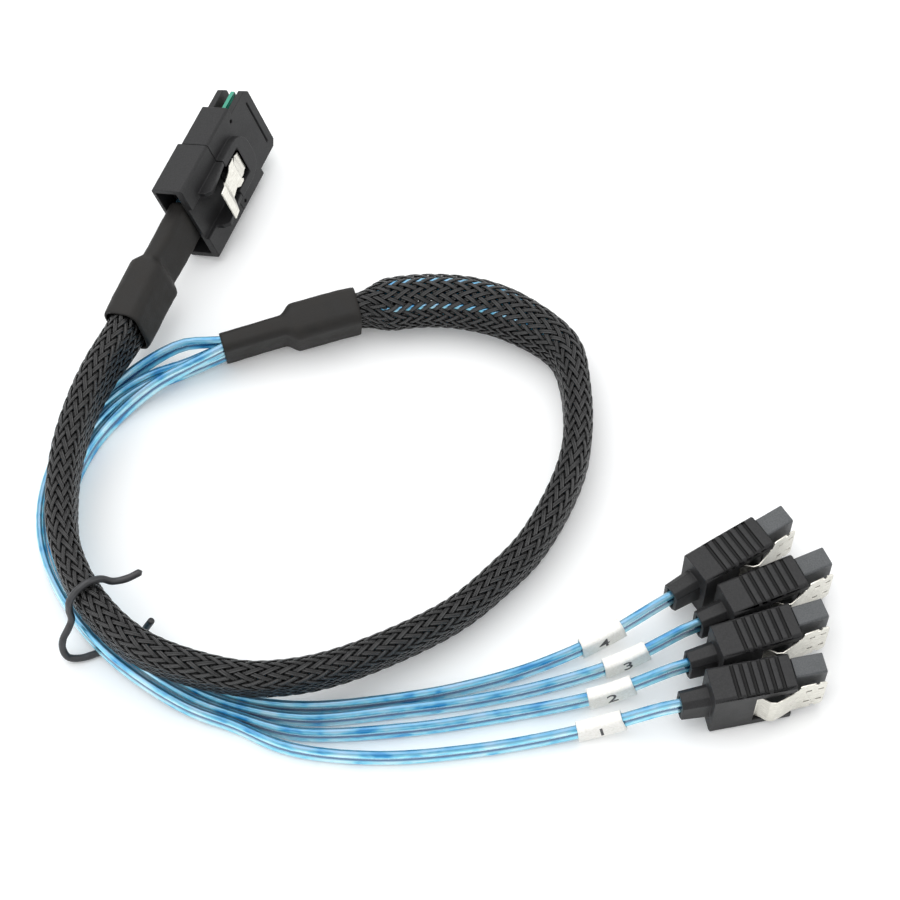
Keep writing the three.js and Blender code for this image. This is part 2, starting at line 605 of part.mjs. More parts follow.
function sataNose() {
  const front = prism(
    chamfered(SATA_NOSE_WIDTH, SATA_NOSE_THICKNESS, SATA_CHAMFER / 2, SATA_NOSE_OFFSET),
    SATA_LENGTH + CLEARANCE, SATA_LENGTH + SATA_NOSE_LENGTH, 'alongX');
  const tailHalf = SATA_TAIL_THICKNESS / 2;
  const tail = block(
    [tailStart, SATA_LENGTH + CLEARANCE + OVERSHOOT], [-SATA_TAIL_WIDTH / 2, SATA_TAIL_WIDTH / 2],
    [SATA_NOSE_OFFSET - tailHalf, SATA_NOSE_OFFSET + tailHalf]);
  const tip = SATA_LENGTH + SATA_NOSE_LENGTH;
  const slotHalf = BLADE_SLOT_HEIGHT / 2;
  const slot = block(
    [tip - BLADE_SLOT_DEPTH, tip + OVERSHOOT], [-BLADE_SLOT_WIDTH / 2, BLADE_SLOT_WIDTH / 2],
    [SATA_NOSE_OFFSET - slotHalf, SATA_NOSE_OFFSET + slotHalf]);
  const key = block(
    [tip - BLADE_SLOT_DEPTH, tip + OVERSHOOT], [BLADE_SLOT_WIDTH / 2 - BLADE_KEY_WIDTH, BLADE_SLOT_WIDTH / 2],
    [SATA_NOSE_OFFSET - slotHalf - BLADE_KEY_HEIGHT, SATA_NOSE_OFFSET]);
  const waferHalf = WAFER_HEIGHT / 2 + CLEARANCE;
  const waferRoom = block(
    [tailStart - OVERSHOOT, tip - BLADE_SLOT_DEPTH + OVERSHOOT / 2],
    [-WAFER_WIDTH / 2 - CLEARANCE, WAFER_WIDTH / 2 + CLEARANCE],
    [SATA_NOSE_OFFSET - waferHalf, SATA_NOSE_OFFSET + waferHalf]);
  return cut(join(front, tail), slot, key, waferRoom);
}

function sataContacts() {
  const waferEnd = tailStart + CLEARANCE + WAFER_LENGTH;
  const wafer = block(
    [tailStart + CLEARANCE, waferEnd], [-WAFER_WIDTH / 2, WAFER_WIDTH / 2],
    [SATA_NOSE_OFFSET - WAFER_HEIGHT / 2, SATA_NOSE_OFFSET + WAFER_HEIGHT / 2]);
  const low = SATA_NOSE_OFFSET - BLADE_SLOT_HEIGHT / 2 + CLEARANCE / 2;
  const contacts = [];
  for (let i = 0; i < CONTACT_COUNT; i += 1) {
    const y = (i - (CONTACT_COUNT - 1) / 2) * CONTACT_PITCH;
    contacts.push(block(
      [waferEnd - OVERSHOOT, waferEnd + CONTACT_LENGTH], [y - CONTACT_WIDTH / 2, y + CONTACT_WIDTH / 2],
      [low, low + CONTACT_THICKNESS]));
  }
  return join(wafer, ...contacts);
}

function sataLatch() {
  const rootHeight = SATA_LATCH_HEIGHT + SATA_LATCH_SHEET / 2;
  const tip = SATA_LENGTH + SATA_NOSE_LENGTH;
  const line = [
    [windowStart - SATA_LATCH_TAIL, rootHeight], [windowStart + 0.6, rootHeight],
    [windowStart + 1.6, rootHeight + 0.7],
    ...SATA_PAD_PLACES.map((place, i) => [windowStart + place, SATA_PAD_HEIGHT - SATA_PAD_DIPS[i]]),
    [SATA_LENGTH - 0.4, SATA_CATCH_HEIGHT + 0.9],
    [SATA_LENGTH + 1.4, SATA_CATCH_HEIGHT + 0.3], [tip - 1.6, SATA_CATCH_HEIGHT + 0.1],
    [tip - 0.2, SATA_CATCH_HEIGHT],
  ];
  const narrow = SATA_LATCH_WIDTH / 2;
  const wide = SATA_CATCH_WIDTH / 2;
  const strip = prism(bentStrip(line, SATA_LATCH_SHEET), -wide, wide, 'alongY');
  const half = [
    [0, narrow], [SATA_LENGTH + CLEARANCE, narrow], [SATA_LENGTH + 1, wide], [tip - 2.6, wide],
    [tip - 2.9, wide - 0.8], [tip - 2.2, wide - 0.8], [tip - 1.8, wide], [tip - 0.6, wide - 0.3],
    [tip, wide - 1], [tip + OVERSHOOT, wide - 1],
  ];
  const trimmed = strip.intersect(prism(mirroredOutline(half), 0, SATA_THICKNESS));
  const slots = [-1, 1].flatMap((hand) => CATCH_SLOT_PLACES.map((place) => {
    const y = hand * CATCH_SLOT_SPREAD / 2;
    const across = [y - CATCH_SLOT_WIDTH / 2, y + CATCH_SLOT_WIDTH / 2];
    return block([tip - place, tip - place + CATCH_SLOT_LENGTH], across, [0, SATA_THICKNESS]);
  }));
  return cut(trimmed, ...slots);
}

// Where the plugs lie on the table

const plugHeading = radians(PLUG_HEADING);
const plugRoll = radians(PLUG_ROLL);
const plugForward = new THREE.Vector3(Math.cos(plugHeading), Math.sin(plugHeading), 0);
const plugLevel = new THREE.Vector3(Math.sin(plugHeading), -Math.cos(plugHeading), 0);
const plugOut = plugLevel.clone().multiplyScalar(Math.cos(plugRoll))
  .addScaledVector(new THREE.Vector3(0, 0, 1), Math.sin(plugRoll));
const plugAcross = plugOut.clone().cross(plugForward);
// The plug leans on the lower back edge of its rear shell, whose chamfer lifts it a little less.
const plugHeight = Math.max(
  (PLUG_WIDTH / 2 - PLUG_CHAMFER) * plugAcross.z - shellFloor * plugOut.z,
  (PLUG_WIDTH / 2) * plugAcross.z - (shellFloor + PLUG_CHAMFER) * plugOut.z);
const plugOrigin = new THREE.Vector3(PLUG_REAR[0], PLUG_REAR[1], plugHeight);

function plugPoint(x, z) {
  return plugOrigin.clone().addScaledVector(plugForward, x).addScaledVector(plugOut, z);
}

function sataPoint(place, x) {
  const heading = radians(place.heading);
  return new THREE.Vector3(place.x + x * Math.cos(heading), place.y + x * Math.sin(heading), SATA_WIDTH / 2);
}

function placedPlug(meshes) {
  const group = new THREE.Group();
  group.position.copy(plugOrigin);
  group.quaternion.setFromRotationMatrix(new THREE.Matrix4().makeBasis(plugForward, plugAcross, plugOut));
  group.add(...meshes);
  return group;
}

function placedSata(place, meshes) {
  const group = new THREE.Group();
  group.position.copy(sataPoint(place, 0));
  group.rotation.set(Math.PI / 2, radians(place.heading), 0, 'XYZ');
  group.add(...meshes);
  return group;
}

// Trunk

const cableStart = WIRE_BLOCK_START - CLEARANCE;
const trunkPoints = [
  [...plugPoint(cableStart, cavityMiddle).toArray(), -PLUG_ROLL],
  [...plugPoint(0, cavityMiddle).toArray(), -PLUG_ROLL],
  [...plugPoint(-8, cavityMiddle).toArray(), -PLUG_ROLL],
  ...TRUNK_ROUTE,
  TRUNK_END,
];
const trunkCurve = new THREE.CatmullRomCurve3(
  trunkPoints.map(([x, y, z]) => new THREE.Vector3(x, y, z)), false, 'centripetal');
trunkCurve.arcLengthDivisions = 2000;
const trunkLength = trunkCurve.getLength();

function trunkStation(distance) {
  const share = THREE.MathUtils.clamp(distance / trunkLength, 0, 1);
  const onCurve = trunkCurve.getUtoTmapping(share) * (trunkPoints.length - 1);
  const before = Math.min(Math.floor(onCurve), trunkPoints.length - 2);
  const roll = THREE.MathUtils.lerp(trunkPoints[before][3], trunkPoints[before + 1][3], onCurve - before);
  return stationOn(trunkCurve.getPointAt(share), trunkCurve.getTangentAt(share).normalize(), radians(roll));
}

const plugShrinkStart = cableStart - PLUG_SHRINK_TUCK;
const plugShrinkStep = cableStart + PLUG_SHRINK_NARROW;
const plugShrinkEnd = plugShrinkStep + PLUG_SHRINK_WIDE;
const sleeveStart = plugShrinkEnd - SLEEVE_LAP;
const breakoutEnd = trunkLength - CABLE_SPACING;
const breakoutStep = breakoutEnd - BREAKOUT_NARROW;
const breakoutStart = breakoutStep - BREAKOUT_WIDE;
const sleeveEnd = breakoutStart + SLEEVE_LAP;

// Distances along the trunk where every piece on it has a station, so that nested pieces keep clear.
const SAME_MARK = 0.01;
const trunkMarks = [...new Set([
  0, plugShrinkStart, plugShrinkStep, plugShrinkStep + SHRINK_STEP, sleeveStart, plugShrinkEnd,
  breakoutStart, sleeveEnd, breakoutStep - SHRINK_STEP, breakoutStep, breakoutEnd,
  ...Array.from({ length: Math.floor(trunkLength / STATION_STEP) }, (_, i) => (i + 1) * STATION_STEP),
])].filter((mark) => mark <= breakoutEnd)
  .sort((a, b) => a - b)
  .filter((mark, i, all) => i === 0 || mark - all[i - 1] > SAME_MARK);

function marksOver(from, to) {
  return trunkMarks.filter((mark) => mark >= from - SAME_MARK && mark <= to + SAME_MARK);
}

function ramp(value, from, to) {
  return THREE.MathUtils.smoothstep(value, from, to);
}

const sleeveOutline = roundedOutline(SLEEVE_WIDTH, SLEEVE_HEIGHT, SLEEVE_CORNER);
const sleeveHole = roundedOutline(
  SLEEVE_WIDTH - 2 * SLEEVE_WALL, SLEEVE_HEIGHT - 2 * SLEEVE_WALL, SLEEVE_CORNER - SLEEVE_WALL);
const shrinkOutline = roundedOutline(SHRINK_WIDTH, SHRINK_HEIGHT, SHRINK_CORNER);
const shrinkHole = roundedOutline(
  SHRINK_WIDTH - 2 * SHRINK_WALL, SHRINK_HEIGHT - 2 * SHRINK_WALL, SHRINK_CORNER - SHRINK_WALL);

// The braid is drawn in under the breakout tube and swells just before it.
function bulgeShare(distance) {
  const rise = ramp(distance, breakoutStart - SLEEVE_BULGE_REACH, breakoutStart - SLEEVE_BULGE_FULL);
  const gather = 1 - ramp(distance, breakoutStart - SLEEVE_GATHER, breakoutStart);
  return rise * gather;
}

function sleeveSwell(distance) {
  const share = bulgeShare(distance);
  return [
    THREE.MathUtils.lerp(1, SLEEVE_BULGE_WIDTH / SLEEVE_WIDTH, share),
    THREE.MathUtils.lerp(1, SLEEVE_BULGE_HEIGHT / SLEEVE_HEIGHT, share),
  ];
}

function shrinkSwell(share) {
  return [
    THREE.MathUtils.lerp(1, SHRINK_WIDE_WIDTH / SHRINK_WIDTH, share),
    THREE.MathUtils.lerp(1, SHRINK_WIDE_HEIGHT / SHRINK_HEIGHT, share),
  ];
}

function trunkTube(outline, hole, from, to, swell) {
  const stations = marksOver(from, to).map((mark) => scaledStation(trunkStation(mark), ...swell(mark)));
  return sweep(outline, hole, stations);
}

function plugShrink() {
  return trunkTube(shrinkOutline, shrinkHole, plugShrinkStart, plugShrinkEnd,
    (mark) => shrinkSwell(ramp(mark, plugShrinkStep, plugShrinkStep + SHRINK_STEP)));
}

function breakoutShrink() {
  return trunkTube(shrinkOutline, shrinkHole, breakoutStart, breakoutEnd,
    (mark) => shrinkSwell(1 - ramp(mark, breakoutStep - SHRINK_STEP, breakoutStep)));
}

function braidedSleeve() {
  return trunkTube(sleeveOutline, sleeveHole, sleeveStart, sleeveEnd, sleeveSwell);
}

// Flat cables

function cableOutline() {
  const radius = CABLE_THICKNESS / 2;
  const centre = CABLE_WIDTH / 2 - radius;
  const ridge = (hand, from) => [0, 50, 100, 150, 200].map((turn) => {
    const angle = radians(from + turn);
    return [-radius * Math.sin(angle), hand * centre + radius * Math.cos(angle)];
  });
  const waist = CABLE_GROOVE_THICKNESS / 2;
  return [...ridge(1, -100), [-waist, 0], ...ridge(-1, 80), [waist, 0]];
}

// Place of each cable in the two by two pack, seen along the trunk: left or right, and over or under.
const PACK_PLACES = [[-1, 1], [-1, -1], [1, -1], [1, 1]];
const packAcross = (CABLE_THICKNESS + CABLE_SPACING) / 2;
const packOver = (CABLE_WIDTH + CABLE_SPACING) / 2;
const cableLow = CABLE_WIDTH / 2 + TABLE_CLEARANCE;

function bundlePoints(index) {
  const curve = new THREE.CatmullRomCurve3(
    [trunkStation(trunkLength).at, ...BUNDLE_ROUTE.map(([x, y]) => new THREE.Vector3(x, y, cableLow))],
    false, 'centripetal');
  const across = (index - 1.5) * BUNDLE_PITCH;
  const isUpper = PACK_PLACES[index][1] > 0;
  return BUNDLE_ROUTE.map(([x, y, lift], i) => {
    const along = curve.getTangent((i + 1) / BUNDLE_ROUTE.length);
    const left = new THREE.Vector3(-along.y, along.x, 0).normalize();
    const over = isUpper ? (UPPER_LIFT[i] ?? 0) * 2 * packOver : 0;
    return new THREE.Vector3(x, y, cableLow + lift + over).addScaledVector(left, across);
  });
}

function freeCurve(index) {
  const [across, over] = PACK_PLACES[index];
  const exit = offsetStation(trunkStation(trunkLength), across * packAcross, over * packOver);
  const place = SATA_PLACES[index];
  const curve = new THREE.CatmullRomCurve3([
    exit.at,
    ...bundlePoints(index),
    ...FAN_ROUTES[index].map(([x, y, lift]) => new THREE.Vector3(x, y, cableLow + lift)),
    sataPoint(place, -BOOT_LENGTH - 3),
    sataPoint(place, -BOOT_LENGTH),
    sataPoint(place, SATA_CABLE_REACH),
  ], false, 'centripetal');
  curve.arcLengthDivisions = 2000;
  return curve;
}

const freeCurves = SATA_PLACES.map((_, index) => freeCurve(index));

function freeStation(index, share) {
  const curve = freeCurves[index];
  const settle = 1 - ramp(share * curve.getLength(), 0, CABLE_SETTLE);
  const roll = radians(TRUNK_END[3] * settle);
  return stationOn(curve.getPointAt(share), curve.getTangentAt(share).normalize(), roll);
}

function flatCable(index) {
  const [across, over] = PACK_PLACES[index];
  const packed = trunkMarks.filter((mark) => mark < breakoutEnd - SAME_MARK).map((mark) => {
    const loose = bulgeShare(mark);
    const spread = [packAcross + loose * PACK_LOOSE_ACROSS, packOver + loose * PACK_LOOSE_OVER];
    return offsetStation(trunkStation(mark), across * spread[0], over * spread[1]);
  });
  const bootShare = 1 - (BOOT_LENGTH + SATA_CABLE_REACH) / freeCurves[index].getLength();
  const free = Array.from(
    { length: CABLE_FREE_STEPS + 1 }, (_, i) => freeStation(index, bootShare * i / CABLE_FREE_STEPS));
  return sweep(cableOutline(), null, [...packed, ...free, freeStation(index, 1)]);
}

function label(index) {
  const curve = freeCurves[index];
  const length = curve.getLength();
  const middle = length - SATA_CABLE_REACH - BOOT_LENGTH - LABEL_TO_BOOT;
  const stations = [-0.5, 0, 0.5].map(
    (share) => freeStation(index, (middle + share * LABEL_LENGTH) / length));
  const inner = [CABLE_THICKNESS + 2 * LABEL_FIT, CABLE_WIDTH + 2 * LABEL_FIT];
  const corner = inner[0] / 3;
  return sweep(
    roundedOutline(inner[0] + 2 * LABEL_WALL, inner[1] + 2 * LABEL_WALL, corner + LABEL_WALL, 3),
    roundedOutline(inner[0], inner[1], corner, 3), stations);
}

function twistTie() {
  const heading = radians(TIE_HEADING);
  const along = new THREE.Vector3(Math.cos(heading), Math.sin(heading), 0);
  const out = new THREE.Vector3(Math.sin(heading), -Math.cos(heading), 0);
  const route = TIE_ROUTE.map(([forward, outward, height]) => (
    new THREE.Vector3(...TIE_PLACE, height).addScaledVector(along, forward).addScaledVector(out, outward)));
  const curve = new THREE.CatmullRomCurve3(route, false, 'centripetal');
  const outline = Array.from({ length: TIE_SIDES }, (_, i) => {
    const angle = i * 2 * Math.PI / TIE_SIDES;
    return [TIE_DIAMETER / 2 * Math.cos(angle), TIE_DIAMETER / 2 * Math.sin(angle)];
  });
  return geometryOf(solid(new THREE.ExtrudeGeometry(shapeOf(outline), {
    steps: TIE_STEPS, extrudePath: curve, bevelEnabled: false,
  })));
}

// The whole cable

const plugMeshes = [
  mesh('mini_sas_front_housing', geometryOf(frontHousing()), 'plugPlastic'),
  mesh('mini_sas_rear_shell', geometryOf(rearShell()), 'plugPlastic'),
  mesh('paddle_card', geometryOf(paddleCard()), 'board'),
  mesh('wire_block', geometryOf(wireBlock()), 'glue'),
  mesh('mini_sas_latch', geometryOf(plugLatch()), 'steel'),
];

const connectors = new THREE.Group();
connectors.add(placedPlug(plugMeshes));
SATA_PLACES.forEach((place, index) => {
  const number = index + 1;
  connectors.add(placedSata(place, [
    mesh(`sata_body_${number}`, geometryOf(sataBody()), 'plugPlastic'),
    mesh(`sata_nose_${number}`, geometryOf(sataNose()), 'nosePlastic'),
    mesh(`sata_contacts_${number}`, geometryOf(sataContacts()), 'contact'),
    mesh(`sata_latch_${number}`, geometryOf(sataLatch()), 'steel'),
  ]));
});

const cords = new THREE.Group();
cords.add(
  mesh('plug_shrink_tube', plugShrink(), 'shrink'),
  mesh('braided_sleeve', braidedSleeve(), 'braid'),
  mesh('breakout_shrink_tube', breakoutShrink(), 'shrink'),
  mesh('twist_tie', twistTie(), 'tie'));
SATA_PLACES.forEach((_, index) => {
  cords.add(mesh(`flat_cable_${index + 1}`, flatCable(index), 'jacket'));
  cords.add(mesh(`cable_label_${index + 1}`, label(index), 'paper'));
});

// The origin is on the table, under the middle of the box that holds the five plugs.
connectors.updateMatrixWorld(true);
const plugsBox = new THREE.Box3().setFromObject(connectors, true);
const middle = plugsBox.getCenter(new THREE.Vector3());
const cable = new THREE.Group();
cable.name = 'mini_sas_breakout_cable';
cable.add(connectors, cords);
cable.position.set(-middle.x, -middle.y, -plugsBox.min.z);

export default cable;
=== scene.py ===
"""Mini SAS breakout cable: one latching plug, a braided trunk, and four flat cables with SATA plugs."""
import math
from itertools import accumulate

import bmesh
import bpy
from mathutils import Matrix, Vector, noise


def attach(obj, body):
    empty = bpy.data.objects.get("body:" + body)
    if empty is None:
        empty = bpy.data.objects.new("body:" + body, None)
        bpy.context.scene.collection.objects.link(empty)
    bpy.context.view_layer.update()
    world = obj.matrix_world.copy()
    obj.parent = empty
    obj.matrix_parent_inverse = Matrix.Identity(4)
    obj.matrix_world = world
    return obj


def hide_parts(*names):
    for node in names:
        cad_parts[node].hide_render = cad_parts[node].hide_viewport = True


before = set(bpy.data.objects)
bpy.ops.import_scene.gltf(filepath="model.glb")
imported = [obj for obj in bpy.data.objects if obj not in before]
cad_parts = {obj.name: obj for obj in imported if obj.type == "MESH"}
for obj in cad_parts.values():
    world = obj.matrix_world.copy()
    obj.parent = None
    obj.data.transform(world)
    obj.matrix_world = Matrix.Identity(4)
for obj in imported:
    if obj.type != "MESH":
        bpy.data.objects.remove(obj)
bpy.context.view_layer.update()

bl_info = {
    "name": "Mini SAS Breakout Cable",
    "version": (1, 0, 0),
    "blender": (4, 5, 0),
    "location": "View3D > Sidebar > Breakout Cable",
    "description": "Builds a braided mini SAS to SATA breakout cable",
    "category": "Add Mesh",
}

MM = 0.001
CABLE_COUNT = 4
BODY = "cable"

# From the routes' own origin to the middle of the box round the five plugs.
SHIFT = Vector((-6.089, -9.3519, 0.0))

# Mini SAS plug: X to the nose, Y across the width, Z out of the latch face.
PLUG_REAR = (-58.3, 51.5)
PLUG_HEADING = math.radians(69)
PLUG_ROLL = 20
PLUG_WIDTH = 22.0
PLUG_THICKNESS = 7.2
PLUG_CHAMFER = 0.5
REAR_SHELL_LENGTH = 13.8
REAR_SHELL_PROUD = 1.0
SEAM = 0.3
SEAM_REACH = 0.05
SEAM_CLOSED = 0.75
CAVITY_MIDDLE = -1.0
CABLE_START = 3.7
CABLE_LEAD = 8
FINGERS_START = 26
FINGER_FACE = 0.53
CARD_FRONT = 32.6
CARD_EDGE = 0.49

# SATA plugs: middle of the overmould's rear end, and heading in degrees.
SATA_PLACES = ((51.1, -62.3, 11.5), (52.9, -52.8, 18.0), (55.3, -43.3, 24.0), (49.6, -36.4, 32.5))
SATA_WIDTH = 14.2
GRIP_RANGE = (4.5, 14.7)
GRIP_WALLS = (6.55, 6.9)
GRIP_REACH = 3.4
BOOT_LENGTH = 5.7
BOOT_LEAD = 3
CABLE_REACH = 6.0

# Cords: x, y, height and roll in degrees along the trunk; x, y and lift off the table along the cables.
TRUNK_ROUTE = (
    (-65.2, 36.6, 11.3, -18), (-70.2, 22.6, 11.3, -12), (-74.9, 12.2, 11.5, -6), (-78.0, 2.8, 11.5, 0),
    (-80.0, -7.8, 11.3, 0), (-80.2, -18.8, 11.6, 0), (-78.6, -29.6, 12.0, 0), (-72.5, -42.5, 12.3, 0),
    (-61.2, -53.4, 12.3, -6), (-42.8, -59.2, 11.2, -12), (-32.6, -58.8, 10.3, -12), (-21.2, -55.1, 8.4, -12),
    (-0.2, -43.6, 6.2, -12), (9.6, -35.0, 6.1, -8), (17.7, -25.4, 6.0, -4), (26.3, -5.9, 6.1, 0),
    (26.9, 12.9, 6.2, 0), (24.4, 21.6, 6.3, 0), (14.1, 29.9, 6.6, 6), (4.5, 33.3, 7.0, 10),
    (-6.6, 34.0, 7.1, 14), (-19.4, 31.6, 7.1, 15), (-35.4, 26.6, 6.8, 15),
)
TRUNK_END = (-49.6, 22.2, 5.8, 15)
BUNDLE_ROUTE = (
    (-57.2, 19.6, 0), (-65.4, 15.8, 0), (-73.2, 9.4, 0), (-79.0, 0.8, 0), (-82.4, -8.9, 0),
    (-83.0, -19.2, 0.5), (-80.6, -29.3, 1.3), (-75.0, -39.6, 1.8), (-68.6, -47.4, 1.8),
    (-60.0, -54.6, 1.8), (-50.6, -60.0, 0.7), (-42.4, -62.9, 0),
)
UPPER_LIFT = (1, 0.5, 0.05)
BUNDLE_PITCH = 1.9
FAN_ROUTES = (
    ((-32, -70.6, 0), (-14.1, -72.6, 0), (5.6, -70.9, 0), (19.9, -68.4, 0.3), (30.4, -66.3, 1.5)),
    ((-30.4, -67.4, 0), (-7.6, -66.4, 0), (10, -63.6, 0.1), (23.4, -61.1, 0.5), (32.2, -59.2, 1.6)),
    ((-28.6, -64.3, 0), (-10, -62.5, 0), (5.6, -60.2, 0), (20.1, -56.9, 0.3), (34.8, -52.3, 1.5)),
    ((-28.5, -61.7, 0), (-7.6, -59.5, 0), (4, -57.1, 0.1), (16.2, -53.4, 0.4), (30.4, -47.3, 1.6)),
)
PACK_PLACES = ((-1, 1), (-1, -1), (1, -1), (1, 1))
CABLE_WIDTH = 4.6
CABLE_THICKNESS = 1.6
CABLE_GROOVE = 1.0
CABLE_SPACING = 0.15
TABLE_CLEARANCE = 0.1
CABLE_SETTLE = 25

# Pieces along the trunk.
SHRINK_STEP = 3
PLUG_SHRINK_NARROW = 13
PLUG_SHRINK_WIDE = 17.5
PLUG_SHRINK_TUCK = 1.8
BREAKOUT_WIDE = 17
BREAKOUT_NARROW = 13.5
SLEEVE_LAP = 9
SLEEVE_BULGE_REACH = 62
SLEEVE_BULGE_FULL = 24
SLEEVE_GATHER = 8
SLEEVE = (6.0, 11.0)
SLEEVE_BULGE = (11.4, 11.8)
SLEEVE_CORNER = 2.9
PACK_LOOSE_ACROSS = 2
PACK_LOOSE_OVER = 0.3
SHRINK = (4.8, 10.8)
SHRINK_WIDE = (8.8, 12.3)
SHRINK_CORNER = 1.8
SHRINK_WALL = 0.45
SHRINK_EDGE = 0.12
SHRINK_SLACK = 0.1
SHRINK_PUCKER = 0.16
SHRINK_DENT = 0.07

# One strand: its section as shares of the half width and heights, and its depth under the outline.
STRAND_SECTION = ((-1, 0.0), (-0.4, 0.16), (0.4, 0.16), (1, 0.0), (0, -0.05))
STRAND_DEPTH = 0.22
STRAND_WAVE = 0.17
STRAND_FLATTEN = 1.5
STEEPEST = 0.95

TIE_PLACE = (-72.5, -42.5)
TIE_HEADING = math.radians(-52)
TIE_ROUTE = (
    (2.6, -11.4, 15.2), (2, -8, 15), (1, -5.4, 15.4), (0.2, -3.6, 17.3), (0, -1, 18.9), (0, 1.6, 18.7),
    (0, 3.9, 16.8), (0, 4.7, 13.4), (0.2, 4.9, 9.6), (0.6, 6.2, 7.9), (1, 8, 6.1), (1.6, 8.9, 3.6),
    (2.8, 8.7, 1.5), (4.2, 6.8, 0.95), (5.4, 3.2, 0.85), (6.4, -0.6, 0.85), (7.2, -3.8, 0.9), (7.8, -6, 2.1),
    (8.4, -7.2, 4.6), (9, -8.2, 7),
)

LABEL_LENGTH = 9.6
LABEL_TO_BOOT = 16.3
LABEL_FIT = 0.3
LABEL_WALL = 0.25
LABEL_CORNER = 0.6
FIGURE_SIZE = 4.9
FIGURE_DEPTH = 0.02
FIGURE_WEIGHT = 0.04

FINE_STEP = 0.8

# The table's half width in metres, its place under the part, and the size of its faint clouds.
TABLE_REACH = 4
TABLE_GAP = 0.02
TABLE_CLOUD = 1000 / 3


# Settings that a user would change


class BraidSettings(bpy.types.PropertyGroup):
    strands: bpy.props.IntProperty(
        name="Strands", description="Strands that run each way round the sleeve", default=22, min=8, max=40)
    strand_width: bpy.props.FloatProperty(
        name="Strand width", description="Width of one flat strand", default=1.05 * MM, unit="LENGTH",
        precision=5)
    braid_angle: bpy.props.FloatProperty(
        name="Braid angle", description="Angle between a strand and the sleeve where it is not opened",
        default=math.radians(23), subtype="ANGLE")


class CordSettings(bpy.types.PropertyGroup):
    ring_step: bpy.props.FloatProperty(
        name="Ring step", description="Distance between the rings of the flat cables and tubes",
        default=2.5 * MM, unit="LENGTH", precision=5)
    tie_diameter: bpy.props.FloatProperty(
        name="Tie diameter", description="Thickness of the coated wire", default=1.5 * MM, unit="LENGTH",
        precision=5)
    film_colour: bpy.props.FloatVectorProperty(
        name="Film colour", description="Blue of the film over the foil, as an sRGB colour",
        default=(0.55, 0.88, 0.97), size=3, min=0, max=1, subtype="COLOR_GAMMA")


class PlugSettings(bpy.types.PropertyGroup):
    edge_radius: bpy.props.FloatProperty(
        name="Edge radius", description="Rounding of the moulded plugs' edges", default=0.18 * MM,
        unit="LENGTH", precision=5)
    steel_radius: bpy.props.FloatProperty(
        name="Sheet radius", description="Rounding of the stamped latches' edges", default=0.05 * MM,
        unit="LENGTH", precision=5)


class StageSettings(bpy.types.PropertyGroup):
    camera_distance: bpy.props.FloatProperty(
        name="Camera distance", description="From the camera to the point that it looks at", default=0.498,
        unit="LENGTH")
    camera_height: bpy.props.FloatProperty(
        name="Camera height", description="Angle of the view above the table", default=math.radians(59),
        subtype="ANGLE")
    lens: bpy.props.FloatProperty(
        name="Lens", description="Focal length on a 36 mm wide sensor, in millimetres", default=92.6)
    lamp_level: bpy.props.FloatProperty(
        name="Lamp level", description="Share of the usual power of the lamps", default=1.0, min=0)


# Materials


def linear(colour):
    """sRGB hex, such as 0x3a3b3c, or three sRGB values, to a linear colour."""
    if isinstance(colour, int):
        colour = [(colour >> shift & 255) / 255 for shift in (16, 8, 0)]
    return (*(c / 12.92 if c <= 0.04045 else ((c + 0.055) / 1.055) ** 2.4 for c in colour), 1.0)


def add_node(tree, kind, links=None, **settings):
    """A node with its settings. Links maps an input to a value or to another node's output."""
    node = tree.nodes.new(kind)
    for name, value in settings.items():
        setattr(node, name, value)
    for name, source in (links or {}).items():
        if isinstance(source, bpy.types.NodeSocket):
            tree.links.new(source, node.inputs[name])
        else:
            node.inputs[name].default_value = source
    return node


def new_material(name, **values):
    """A material with a Principled shader, and its tree, shader and object coordinates."""
    material = bpy.data.materials.new(name)
    material.use_nodes = True
    tree = material.node_tree
    shader = tree.nodes["Principled BSDF"]
    for socket, value in values.items():
        shader.inputs[socket.replace("_", " ")].default_value = value
    place = add_node(tree, "ShaderNodeTexCoord").outputs["Object"]
    return material, tree, shader, place


def uv_of(tree, name):
    return add_node(tree, "ShaderNodeUVMap", uv_map=name).outputs["UV"]


def first_of(tree, vector):
    return add_node(tree, "ShaderNodeSeparateXYZ", {"Vector": vector}).outputs["X"]


def noise_over(tree, vector, size_mm, detail, **more):
    """Noise with features of about a size in millimetres."""
    links = {"Vector": vector, "Scale": 1 / (size_mm * MM), "Detail": detail, **more}
    return add_node(tree, "ShaderNodeTexNoise", links).outputs["Fac"]


def computed(tree, operation, *values):
    return add_node(tree, "ShaderNodeMath", dict(enumerate(values)), operation=operation).outputs["Value"]


def mixed(tree, share, a, b, kind="FLOAT"):
    links = {"Factor": share, "A": a, "B": b}
    return add_node(tree, "ShaderNodeMix", links, data_type=kind).outputs["Result"]


def ramp_between(tree, factor, *stops):
    """A ramp over stops, each a position with an sRGB colour or, as a float, a plain value."""
    node = add_node(tree, "ShaderNodeValToRGB", {"Fac": factor})
    elements = node.color_ramp.elements
    while len(elements) < len(stops):
        elements.new(0.5)
    for element, (position, stop) in zip(elements, stops):
        element.position = position
        element.color = (stop, stop, stop, 1.0) if isinstance(stop, float) else linear(stop)
    return node.outputs["Color"]


def varied(tree, shader, socket, factor, *stops):
    tree.links.new(ramp_between(tree, factor, *stops), shader.inputs[socket])


def bumped(tree, shader, height, strength, distance_mm):
    links = {"Height": height, "Strength": strength, "Distance": distance_mm * MM}
    tree.links.new(add_node(tree, "ShaderNodeBump", links).outputs["Normal"], shader.inputs["Normal"])


